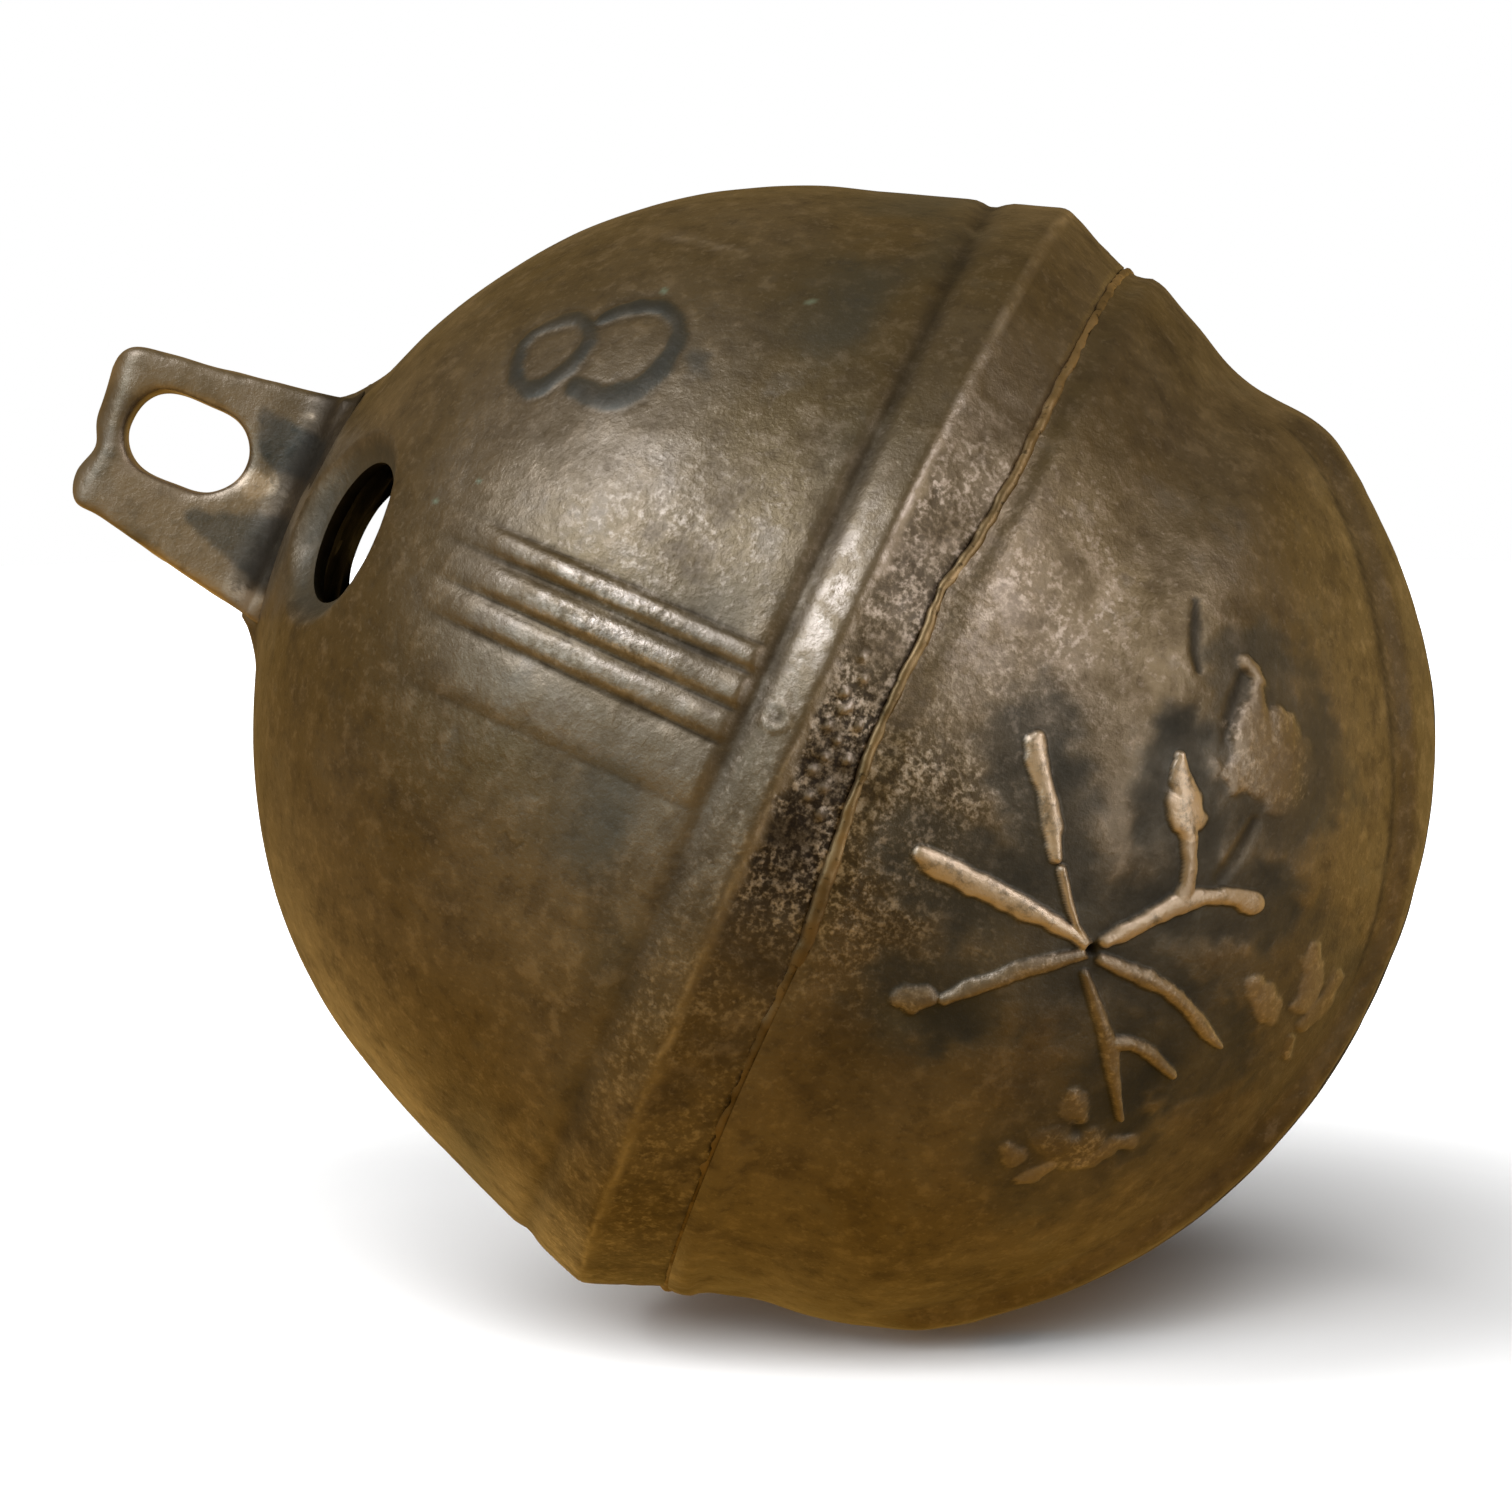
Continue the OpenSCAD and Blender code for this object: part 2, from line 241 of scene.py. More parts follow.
def bronze_material(name, shift):
    """Old cast bronze; shift moves its pattern, so no two castings match."""
    made, tree = new_finish(name)
    spot = add_node(tree, "ShaderNodeTexCoord", out="Object")
    mark = {key: add_node(tree, "ShaderNodeAttribute", out="Fac", attribute_name=key) for key in MARKS}
    cloud = {}
    for step, (key, size, detail, rough) in enumerate(CLOUDS):
        cloud[key] = add_node(tree, "ShaderNodeTexNoise", {
            "Vector": spot, "W": shift + 4 * step, "Scale": 1 / (size * MM), "Detail": detail,
            "Roughness": rough,
        }, noise_dimensions="4D")
    part = {key: mark[key] for key in ("slate", "verdigris")}
    for key, source, low, high, most in SHARES:
        part[key] = add_node(tree, "ShaderNodeMapRange", {
            "Value": cloud[source], "From Min": low, "From Max": high, "To Max": most,
        }, interpolation_type="SMOOTHSTEP")
    for key, first, second in BROKEN:
        part[key] = add_node(tree, "ShaderNodeMath", {0: mark[first], 1: part[second]}, operation="MULTIPLY")
    for key, second in (("bright", part["patchy"]), ("black", mark["grit"])):
        part[key] = add_node(tree, "ShaderNodeMath", {0: part[key], 1: second}, operation="MULTIPLY")
    skin, dull = linear(BARE_SKIN), DULL
    for key, colour in COATS:
        skin = add_node(tree, "ShaderNodeMix", {"Factor": part[key], 6: skin, 7: linear(colour)}, 2,
                        data_type="RGBA")
    for key, change in DULLED:
        dull = add_node(tree, "ShaderNodeMath", {0: part[key], 1: change, 2: dull}, operation="MULTIPLY_ADD")
    rough = add_node(tree, "ShaderNodeMath", {0: mark["grit"], 1: GRIT_BUMP, 2: GRAIN_BUMP},
                     operation="MULTIPLY_ADD")
    coarse = add_node(tree, "ShaderNodeBump", {"Height": cloud["mottle"], "Strength": MOTTLE_BUMP,
                                               "Distance": MOTTLE_HEIGHT * MM})
    fine = add_node(tree, "ShaderNodeBump", {"Height": cloud["grain"], "Strength": rough,
                                             "Distance": GRAIN_HEIGHT * MM, "Normal": coarse})
    metal = add_node(tree, "ShaderNodeMath", {0: mark["buffed"], 1: BUFFED_METAL, 2: METAL},
                     operation="MULTIPLY_ADD")
    shader = add_node(tree, "ShaderNodeBsdfPrincipled", {"Base Color": skin, "Roughness": dull,
                                                         "Metallic": metal, "Normal": fine})
    add_node(tree, "ShaderNodeOutputMaterial", {"Surface": shader})
    return made


crown_bronze = bronze_material("patinated_bronze_crown", 0.0)
bowl_bronze = bronze_material("patinated_bronze_bowl", 20.0)
lug_bronze = bronze_material("patinated_bronze_lug", 40.0)
print("finishes:", crown_bronze.name, bowl_bronze.name, lug_bronze.name)

# %% [markdown]
# ## Turning a profile
# Both halves are turned shapes, so each starts as a profile, a list of radius and height pairs, swept round
# the axis. The points stand closer together where the ornament is, at the front and the back.

# %% Profile helpers
ROW_STEP = 0.46  # mm between points along an outside profile
INNER_STEP = 3.0
BAND_R = 36.8
FRONT_STEP, SIDE_STEP = 0.46, 0.68  # mm between columns at the band
SIDE_FROM, SIDE_RUN = 0.66, 0.2  # where the wider columns set in, as a cosine, and over how much of it
FINER = 4  # the columns are spaced by counting off steps this much finer


def smooth(share):
    """0 to 1 with soft ends."""
    share = np.clip(share, 0, 1)
    return share * share * (3 - 2 * share)


def arc(mid_r, mid_z, radius, start, end, step):
    """Points on a circle in the profile's plane, angles in degrees from +r toward +z."""
    count = max(2, int(abs(math.radians(end - start)) * radius / step) + 1)
    turn = np.radians(np.linspace(start, end, count))
    return np.column_stack((mid_r + radius * np.cos(turn), mid_z + radius * np.sin(turn)))


def line(first, last, step):
    """Points on a straight stretch of profile."""
    first, last = np.array(first, float), np.array(last, float)
    count = max(2, int(np.linalg.norm(last - first) / step) + 1)
    return first + (last - first) * np.linspace(0, 1, count)[:, None]


def columns(radius):
    """Angles round the axis, closer together round the front (-Y) and the back (+Y)."""
    fine = np.arange(0, 2 * math.pi, FRONT_STEP / radius / FINER)
    want = FRONT_STEP + (SIDE_STEP - FRONT_STEP) * smooth((np.abs(np.cos(fine)) - SIDE_FROM) / SIDE_RUN)
    passed = np.concatenate(([0], np.cumsum(FRONT_STEP / FINER / want)))
    count = int(passed[-1])
    return np.interp(np.linspace(0, passed[-1], count, endpoint=False), passed, np.append(fine, 2 * math.pi))


def revolve(name, profile, angles):
    """Sweeps a closed loop of (r, z) points, in mm from the bell's centre, into a closed mesh."""
    rows, turns = len(profile), len(angles)
    ring = np.stack((np.cos(angles), np.sin(angles)), axis=1)
    flat = profile[:, None, :1] * ring[None]
    up = np.repeat(profile[:, None, 1:], turns, axis=1)
    points = np.concatenate((flat, up), axis=2).reshape(-1, 3)
    row, turn = np.meshgrid(np.arange(rows), np.arange(turns), indexing="ij")
    next_row, next_turn = (row + 1) % rows, (turn + 1) % turns
    corners = [row * turns + turn, row * turns + next_turn,
               next_row * turns + next_turn, next_row * turns + turn]
    faces = np.stack(corners, axis=-1).reshape(-1, 4)
    mesh = bpy.data.meshes.new(name)
    mesh.from_pydata(points.tolist(), [], faces.tolist())
    return add_object(name, mesh)


turn_angles = columns(BAND_R)
print("columns round the bell:", len(turn_angles))

# %% [markdown]
# ## Cutting and carving helpers
# Holes are cut with Blender's Boolean while the walls are still plain, then everything raised or sunk is
# carved by moving the outside points in or out. Ornament is drawn as strokes on a flat sheet that faces
# the camera, in millimetres, and each point of the casting looks up how far it is from the nearest stroke.

# %% Carving helpers
SPREAD = 1.18  # a stroke's foot runs out this many half widths from its middle line
FAR = 99.0  # mm; further than any stroke is looked for
SKIN_FROM, SKIN_RUN = 0.3, 1.5  # mm out from the hollow where carving sets in, and to where it is full
# Painted shade inside the hollow: how dark it is, and from and over how many mm out from the hollow it fades.
HOLLOW_SHADE, HOLLOW_SHADE_FROM, HOLLOW_SHADE_RUN = 0.95, 0.2, 1.6
UNEVEN = [(0.14, 15), (0.05, 5), (0.03, 2.4)]  # mm high and mm across, of the waves of a sand casting
FACES_MEET = 6  # mm from the side of the bell within which the front and the back run together
SHARP = math.radians(75)  # edges that turn by more stay sharp


def read_points(mesh):
    """A mesh's points as an array."""
    flat = np.empty(len(mesh.vertices) * 3)
    mesh.vertices.foreach_get("co", flat)
    return flat.reshape(-1, 3)


def apply_modifiers(made):
    """Swaps a piece's mesh for what its modifiers make of it."""
    graph = bpy.context.evaluated_depsgraph_get()
    whole = bpy.data.meshes.new_from_object(made.evaluated_get(graph))
    made.modifiers.clear()
    made.data = whole


def cut(made, cutters):
    """Takes the cutters' shapes out of a piece, one after another."""
    for cutter in cutters:
        knife = made.modifiers.new("cut", "BOOLEAN")
        knife.object = cutter
        knife.operation = "DIFFERENCE"
        knife.solver = "EXACT"
    apply_modifiers(made)
    for cutter in cutters:
        bpy.data.objects.remove(cutter)


def refine(made, inside):
    """Halves every edge whose two ends lie inside a window, so that the faces there can take finer carving."""
    tool = bmesh.new()
    tool.from_mesh(made.data)
    edges = [e for e in tool.edges if inside[e.verts[0].index] and inside[e.verts[1].index]]
    bmesh.ops.subdivide_edges(tool, edges=edges, cuts=1, use_grid_fill=True)
    tool.to_mesh(made.data)
    tool.free()
    print(made.name, "refined to", len(made.data.vertices), "points")


def bump(values, middle, half):
    """A smooth hump over values, 1 at the middle."""
    return np.exp(-(((values - middle) / half) ** 2))


def oval(sheet, mid_x, mid_z, half_x, half_z):
    """A smooth oval hump on the sheet."""
    return bump(sheet[:, 0], mid_x, half_x) * bump(sheet[:, 1], mid_z, half_z)


def lumps(points, size, seed):
    """Smooth random heights, about -1 to 1, with bumps size mm across."""
    spot = points / size + seed * 17.31
    low = np.floor(spot).astype(np.int64)
    part = smooth(spot - low)
    total = np.zeros(len(points))
    for corner in range(8):
        step = np.array([corner & 1, corner >> 1 & 1, corner >> 2 & 1])
        cell = low + step
        mixed = cell[:, 0] * 374761393 + cell[:, 1] * 668265263 + cell[:, 2] * 2147483647 + seed * 974711
        mixed = (mixed ^ (mixed >> 13)) * 1274126177 & 0x7FFFFFFF
        value = (mixed ^ (mixed >> 16)) % 10007 / 5003.0 - 1
        weight = np.prod(np.where(step, part, 1 - part), axis=1)
        total += value * weight
    return total


def stroke(sheet, path):
    """Distance from a stroke of (x, z, half width): as a share of the half width, and in mm past its edge."""
    share, beyond = np.full((2, len(sheet)), FAR)
    for (ax, az, aw), (bx, bz, bw) in zip(path, path[1:]):
        start, run = np.array((ax, az)), np.array((bx - ax, bz - az))
        along = np.clip((sheet - start) @ run / max(run @ run, 1e-9), 0, 1)
        gap = np.linalg.norm(sheet - start - along[:, None] * run, axis=1)
        half = aw + (bw - aw) * along
        share, beyond = np.minimum(share, gap / half), np.minimum(beyond, gap - half)
    return share, beyond


def rounded(share):
    """The height of a round-backed stroke with a soft foot."""
    return np.clip(1 - (share / SPREAD) ** 2, 0, 1) ** 1.25


def facing_sheet(points):
    """Where points fall on the sheet that faces the camera: (x, height along the axis)."""
    return np.column_stack((points[:, 0], points[:, 2] * math.cos(TIP) - points[:, 1] * math.sin(TIP)))


def own_side(points):
    """x as the viewer of each face sees it, front or back; it runs to 0 between them, so the faces meet."""
    return -points[:, 0] * points[:, 1] / np.hypot(points[:, 1], FACES_MEET)


SEAM_SWAY = [(-36, 0), (-22, -0.2), (-11.2, -0.6), (-7.7, -0.25), (-4, 0.15), (0.8, 0.6), (3.7, 0.6),
             (7.8, 0.5), (11.6, 0.7), (16, 0), (20, -0.25), (24, -0.2), (36, 0)]  # x and mm along the axis
SEAM_Z, SEAM_FADE = -3.7, 2.2
SEAM_CLOSE = 0.25  # mm that the crown's rim comes down over the bead where the seam is closed up
CLOSED_FROM, CLOSED_RUN = -7, 9  # where on its own side the seam starts to close, and over how many mm


def closed(points):
    """How far the seam is closed up: not where it is a bead, and all the way at each face's own low side."""
    return smooth((CLOSED_FROM - own_side(points)) / CLOSED_RUN)


def seam_sway(points):
    """How far the seam wanders along the axis where each point is; it dies out above and below the seam."""
    across = np.where(points[:, 1] < 0, points[:, 0], -points[:, 0])
    return np.interp(across, *np.transpose(SEAM_SWAY)) * bump(points[:, 2], SEAM_Z, SEAM_FADE)


def carved_share(depth):
    """How much of the carving points take that lie depth mm out from the hollow: all of it at the outside."""
    return smooth((depth - SKIN_FROM) / SKIN_RUN)


def hollow_shade(depth):
    """How dark the painted shade inside the hollow makes points that lie depth mm out from it."""
    return HOLLOW_SHADE * (1 - smooth((depth - HOLLOW_SHADE_FROM) / HOLLOW_SHADE_RUN))


def uneven(points, seeds):
    """The waves of a sand casting, from broad to fine."""
    return sum(tall * lumps(points, size, seed) for (tall, size), seed in zip(UNEVEN, seeds))


def leave(made, points, finish, **marks):
    """Writes carved points back in metres, with the marks that steer the finish, and sets the material."""
    mesh = made.data
    mesh.vertices.foreach_set("co", ((points + (0, 0, CENTRE_Z)) * MM).ravel())
    for name, values in marks.items():
        mark = mesh.attributes.new(name, "FLOAT", "POINT")
        mark.data.foreach_set("value", np.clip(values, 0, 1))
    mesh.materials.clear()
    mesh.materials.append(finish)
    mesh.update()
    mesh.shade_smooth()
    mesh.set_sharp_from_angle(angle=SHARP)
    print(made.name, len(mesh.polygons), "faces")


def outward(points):
    """Directions from the bell's centre."""
    return points / np.linalg.norm(points, axis=1)[:, None]


print("carving helpers ready")

# %% [markdown]
# ## The crown
# The top half: a dome that runs out into a straight flare and a rounded band, with a rim below it that the
# bowl's spigot fits into. Two round sound holes with a dished edge go through the dome, one at the front
# and one behind.

# %% Crown sizes and profile
CORE_R, DOME_CORE_R = 31.6, 31.715
DOME_R, DOME_LIFT = 34.5, 2.7
FLARE_TOP = 12.5
CREST_R, CREST_Z, CREST_ROUND = 35.6, 1.3, 1.2
RIM_R, CROWN_RIM = 34.9, -3.45
SPIGOT_R, SPIGOT_TOP = 33.15, -0.95
HOLE_R, HOLE_TILT = 4.9, math.radians(25)
DISH_R, DISH_DEPTH = 6.6, 1.2
CREST_STEP = 0.25
CROWN_POLE = 89.3  # degrees; the profile stops just short of the axis


def crown_profile():
    """The crown's closed section, from the pole down the outside and back up the inside."""
    flare_r = math.sqrt(DOME_R**2 - (FLARE_TOP - DOME_LIFT) ** 2)
    dome_end = math.degrees(math.atan2(FLARE_TOP - DOME_LIFT, flare_r))
    reach = math.hypot(CREST_R - flare_r, CREST_Z - FLARE_TOP)
    slope = math.atan2(CREST_Z - FLARE_TOP, CREST_R - flare_r) + math.asin(CREST_ROUND / reach)
    rim_reach = math.hypot(CREST_R - RIM_R, CREST_Z - CROWN_RIM)
    rim_slope = math.atan2(CREST_Z - CROWN_RIM, CREST_R - RIM_R) - math.asin(CREST_ROUND / rim_reach)
    dome = arc(0, DOME_LIFT, DOME_R, CROWN_POLE, dome_end, ROW_STEP)
    crest = arc(CREST_R, CREST_Z, CREST_ROUND, math.degrees(slope) + 90, math.degrees(rim_slope) - 90,
                CREST_STEP)
    flare = line(dome[-1], crest[0], ROW_STEP)
    face = line(crest[-1], (RIM_R, CROWN_RIM), ROW_STEP)
    rebate = np.array([(SPIGOT_R, CROWN_RIM), (SPIGOT_R, SPIGOT_TOP)])
    neck = arc(0, 0, CORE_R, math.degrees(math.asin(SPIGOT_TOP / CORE_R)), 0, INNER_STEP)
    hollow = arc(0, DOME_LIFT, DOME_CORE_R, math.degrees(math.asin(-DOME_LIFT / DOME_CORE_R)), CROWN_POLE,
                 INNER_STEP)
    return np.concatenate((dome, flare[1:-1], crest, face[1:], rebate, neck, hollow[1:]))


crown_path = crown_profile()
crown = revolve("crown_shell", crown_path, turn_angles)
print("crown rows:", len(crown_path), "widest", round(crown_path[:, 0].max(), 2), "mm")

# %% Sound holes
DRILL_FROM, DRILL_TO, DRILL_SIDES = 20, 45, 96  # mm from the centre, from inside the hollow to outside the wall
FINE_FRONT = (-9, 22, -3, 30)  # x from and to, height from and to: where the crown is carved finely
FINE_BACK = (-5, 8, 3, 28)
FINE_R = 12  # mm; the lug covers what lies nearer the axis


def drill(name, direction, radius, lift):
    """A round cutter along a direction from a point on the axis."""
    tool = bmesh.new()
    bmesh.ops.create_cone(tool, cap_ends=True, segments=DRILL_SIDES, radius1=radius, radius2=radius,
                          depth=DRILL_TO - DRILL_FROM)
    turn = Vector((0, 0, 1)).rotation_difference(direction).to_matrix().to_4x4()
    middle = Vector((0, 0, lift)) + direction * (DRILL_FROM + DRILL_TO) / 2
    tool.transform(Matrix.Translation(middle) @ turn)
    mesh = bpy.data.meshes.new(name)
    tool.to_mesh(mesh)
    tool.free()
    return add_object(name, mesh)


def within(across, height, window):
    """Which places lie inside a window."""
    x_from, x_to, z_from, z_to = window
    return (across > x_from) & (across < x_to) & (height > z_from) & (height < z_to)


hole_ways = [Vector((0, side * math.sin(HOLE_TILT), math.cos(HOLE_TILT))) for side in (-1, 1)]
cut(crown, [drill("drill", way, HOLE_R, DOME_LIFT) for way in hole_ways])
sheet = facing_sheet(read_points(crown.data))
x, y, z = read_points(crown.data).T
carved = np.where(y < 0, within(x, sheet[:, 1], FINE_FRONT), within(x, z, FINE_BACK))
refine(crown, carved & (np.hypot(x, y) > FINE_R))

# %% [markdown]
# The crown's ornament is plain: four flat ribs that run down from the front hole to a groove above the
# band, and a cast size number, an 8 drawn as a small ring and a larger open one. Rubbing has brightened the
# ribs' backs, most round the height where the dome's highlight falls, so that part is also a painted
# highlight, and dirt has settled between them. The dome swells a little round the lug's foot, so that the
# lug grows out of it as it does in one casting.

# %% Carve the crown
RIBS = [(3.1, 0.86, 0.38), (0.85, 1.06, 0.38), (-1.45, 0.98, 0.30), (-4.8, 2.10, 0.18)]  # x, half width, height
RIB_TOP, RIB_FADE, RIB_FOOT, RIB_START = 28.0, 9.0, 5.6, 0.7
RIB_WEAR_AND_HIGHLIGHT, RIB_WEAR_AND_HIGHLIGHT_HALF = 14, 7.5  # the stretch that is rubbed most, round the height where the dome's highlight falls: wear, and partly a painted highlight
RIB_STRIP = (-7.2, 4.4)  # the four ribs' own strip of the crown, from x to x
GROOVE_Z, GROOVE_HALF, GROOVE_DEPTH = 5.6, 0.70, 0.42
GROOVE_DIP = 1.15 / 36  # how much lower it runs at the front, per mm toward the camera
EIGHT = [
    [(16.4, 27.6, 0.29), (17.2, 26.8, 0.38), (17.7, 26.0, 0.47), (17.5, 25.2, 0.47), (16.8, 24.8, 0.41),
     (15.9, 24.9, 0.36), (14.9, 25.1, 0.41), (14.0, 25.6, 0.41), (12.9, 26.2, 0.44), (12.3, 27.1, 0.52),
     (12.7, 28.0, 0.47), (13.7, 28.4, 0.33), (14.8, 28.5, 0.26), (15.7, 28.2, 0.24), (16.4, 27.6, 0.29)],
    [(18.1, 24.7, 0.26), (19.2, 23.8, 0.39), (20.0, 22.6, 0.48), (20.4, 21.5, 0.50), (20.1, 20.4, 0.48),
     (19.3, 19.8, 0.44), (18.0, 19.8, 0.47), (16.4, 20.1, 0.57), (15.0, 20.8, 0.67), (14.0, 21.8, 0.74),
     (13.6, 23.1, 0.74), (13.6, 24.3, 0.57)],
]
EIGHT_HEIGHT, EIGHT_THIN = 0.13, 1.12
SMUDGE, SMUDGE_R = (18.2, 18.1), 1.4
SCRATCH = [(24.5, 24.7, 0.3), (25.2, 21.5, 0.34), (25.4, 18.3, 0.26)]
NUB, NUB_R, NUB_HEIGHT = (0.35, 4.8), 0.75, 0.08  # a ring left where the ribs meet the band
EDGE_THIN = 0.75  # the wall thins toward each hole, on the inside
NODULES = [(2.7, 0.8), (2.4, 1.2), (3.4, 1.5), (1.2, 1.6), (0.6, 0.6), (-0.6, 1.0), (1.9, -0.4), (-1.6, 1.4),
           (-2.3, 0.2), (-0.2, -0.6), (4.6, 0.7), (-3.2, 1.0), (5.8, 1.4), (-3.9, -0.2)]
NODULE_R, NODULE_HEIGHT = 0.36, 0.28
VERDIGRIS = [(21.4, 21.9, 0.3), (6.0, 27.3, 0.24), (3.8, 29.2, 0.26), (24.2, 13.3, 0.26), (-15.4, 12.1, 0.22)]
PLATE_MID, PLATE_HALF_X, PLATE_HALF_Y = -0.1, 7.2, 2.6  # the lug's footprint
FILLET_HEIGHT, FILLET_RUN = 1.1, 0.9
SWELL_HEIGHT, SWELL_R, SWELL_RUN, SWELL_ABOVE = 0.36, 10.6, 2.4, 28
FLANK_HIGHLIGHT, DOME_HIGHLIGHT = (8, 4.6, 6, 1.2), (8.5, 15, 5.5, 6)  # painted highlights: bright ovals on the band's flank and, speckled, on the dome
CREST_BARE, FACE_TOP = 0.95, 0.85  # heights of the band's rubbed edge and of the rough face below it
FLANK = (0.8, 4.6)
NEAR_BAND, NEAR_BAND_HALF = 9.0, 4.0
SHIFT, SHIFT_Z, SHIFT_HALF, SHIFT_X = 0.5, 19, 8, 30  # the mould had shifted, so the dome's low side is flatter

points = read_points(crown.data)
x, y, z = points.T
front = y < 0
aside = own_side(points)
from_dome = points - (0, 0, DOME_LIFT)
depth = np.where(z > 0, np.linalg.norm(from_dome, axis=1) - DOME_CORE_R,
                 np.linalg.norm(points, axis=1) - CORE_R)
skin = carved_share(depth)
away = outward(np.where(z[:, None] > 0, from_dome, points))
sheet = facing_sheet(points)
lift, thin, worn, grime, slate, grit, eight = np.zeros((7, len(points)))

past_end = np.abs(x - PLATE_MID) - PLATE_HALF_X
fillet = np.exp(-np.maximum(past_end, 0) / FILLET_RUN) * smooth((past_end + 2) / 1.5)
fillet *= smooth((PLATE_HALF_Y + 1 - np.abs(y)) / 1.2)
swell = smooth((SWELL_R - np.hypot(x, y)) / SWELL_RUN)
lift += (FILLET_HEIGHT * fillet + SWELL_HEIGHT * swell) * (z > SWELL_ABOVE)

for way in hole_ways:
    ahead = from_dome @ np.array(way)
    gap = np.linalg.norm(from_dome - ahead[:, None] * np.array(way), axis=1)
    dish = np.where(ahead > 0, np.clip((DISH_R - gap) / (DISH_R - HOLE_R), 0, 1), 0)
    lift = lift * (1 - smooth(dish * 2)) - DISH_DEPTH * (0.5 * dish + 0.5 * smooth(dish))
    thin = np.maximum(thin, smooth((DISH_R + 2.0 - gap) / 3.0) * (ahead > 0))
    slate = np.maximum(slate, 0.55 * smooth(dish * 1.6))

for side, across in ((front, x), (y > 0, -x)):
    along = smooth((RIB_TOP - z) / RIB_FADE) * smooth((z - RIB_FOOT + RIB_START) / RIB_START) * side
    for mid, half, tall in RIBS:
        share = np.abs(across - mid) / half
        back = np.clip(1 - share**2.6, 0, 1)
        lift += tall * back * along * (1 + 0.25 * lumps(points, 1.7, 22))
        # Rubbed ribs, brightest round one height: wear, and there partly a painted highlight.
        rubbed = bump(z, RIB_WEAR_AND_HIGHLIGHT, RIB_WEAR_AND_HIGHLIGHT_HALF) * min(1, (tall / RIBS[0][2]) ** 2)
        ridge = smooth(back * 2.0 - 0.9 + 0.3 * lumps(points, 0.8, 28)) * along * rubbed
        worn, grit = np.maximum(worn, ridge), np.maximum(grit, 0.65 * ridge)
    strip = smooth((RIB_STRIP[1] - across) / 0.5) * smooth((across - RIB_STRIP[0]) / 0.5) * along
    bare = np.min([np.abs(across - mid) / half for mid, half, tall in RIBS], axis=0)
    grime = np.maximum(grime, 0.75 * strip * smooth((bare - 0.90) / 0.2))

groove = bump(z, GROOVE_Z + GROOVE_DIP * y, GROOVE_HALF)
groove *= 0.55 + 0.45 * smooth((aside + 6) / 8)  # it is faint below the ribs
lift -= GROOVE_DEPTH * groove
# The groove is darkened: painted shade in the crease.
grime = np.maximum(grime, 0.6 * groove)
near_band = bump(z, NEAR_BAND, NEAR_BAND_HALF)
slate = np.maximum(slate, 0.6 * near_band * smooth((lumps(points, 7, 11) + 0.15) / 0.6))

for path in EIGHT:
    share, beyond = stroke(sheet, path)
    eight = np.maximum(eight, rounded(share / EIGHT_THIN * (1 + 0.25 * lumps(points, 0.9, 23))) * front)
    rim = bump(beyond, 0.15, 0.22) * front
    lift -= 0.03 * rim
    grime = np.maximum(grime, 0.25 * rim)
lift += EIGHT_HEIGHT * eight
grime = np.maximum(grime * (1 - eight), 0.35 * eight)
slate = np.maximum(slate, smooth(eight * 2) * (0.7 + 0.25 * lumps(points, 1.6, 24)))
smudge_r = SMUDGE_R * (1 + 0.4 * lumps(points, 0.9, 25))
smudge = smooth((smudge_r - np.linalg.norm(sheet - SMUDGE, axis=1)) / 1.2) * front
slate, grime = np.maximum(slate, 0.6 * smudge), np.maximum(grime, 0.35 * smudge)
worn = np.maximum(worn, 0.5 * rounded(stroke(sheet, SCRATCH)[0]) * front)
nub = np.linalg.norm(sheet - NUB, axis=1) / NUB_R
lift += NUB_HEIGHT * bump(nub, 1, 0.35) * front * (1 + lumps(points, 0.9, 27))
grime = np.maximum(grime, 0.6 * smooth(1 - nub) * front)

crest = bump(z, CREST_BARE + 0.25 * lumps(points, 2.2, 19), 0.20)
# Painted highlights on the band's flank and on the dome.
flank_highlight, dome_highlight = [oval(sheet, *zone) * front for zone in (FLANK_HIGHLIGHT, DOME_HIGHLIGHT)]
flank = smooth((z - FLANK[0]) / 0.5) * smooth((FLANK[1] - z) / 0.8) * smooth((5 - aside) / 5)
worn = np.max((worn, 0.65 * crest, flank_highlight, 0.22 * dome_highlight), axis=0)
grit = np.max((grit, 0.5 * dome_highlight, 0.35 * flank), axis=0)
face = smooth((FACE_TOP + 0.5 * lumps(points, 1.3, 20) - z) / 0.6)
patch = smooth((lumps(points, 9, 13) + 0.7) / 0.9)
middle = smooth((x + 15) / 8) * smooth((24 - x) / 10)
grit = np.maximum(grit, face * (0.35 * smooth((26 - x) / 10) + (0.35 + 0.3 * patch) * middle))
lift += face * 0.07 * lumps(points, 0.8, 5)
for spot in NODULES:
    nodule = rounded(np.linalg.norm(sheet - spot, axis=1) / NODULE_R) * front
    lift += NODULE_HEIGHT * nodule
    worn = np.maximum(worn, nodule)
    grit = grit * (1 - nodule)
# The crown's rim is darkened in the crevice over the seam, least at each face's low end: painted shade.
crevice = bump(z, CROWN_RIM, 0.4)
crevice_shade = 0.05 + 0.75 * smooth((aside + 12) / 8) * smooth((20 - np.abs(x)) / 8)
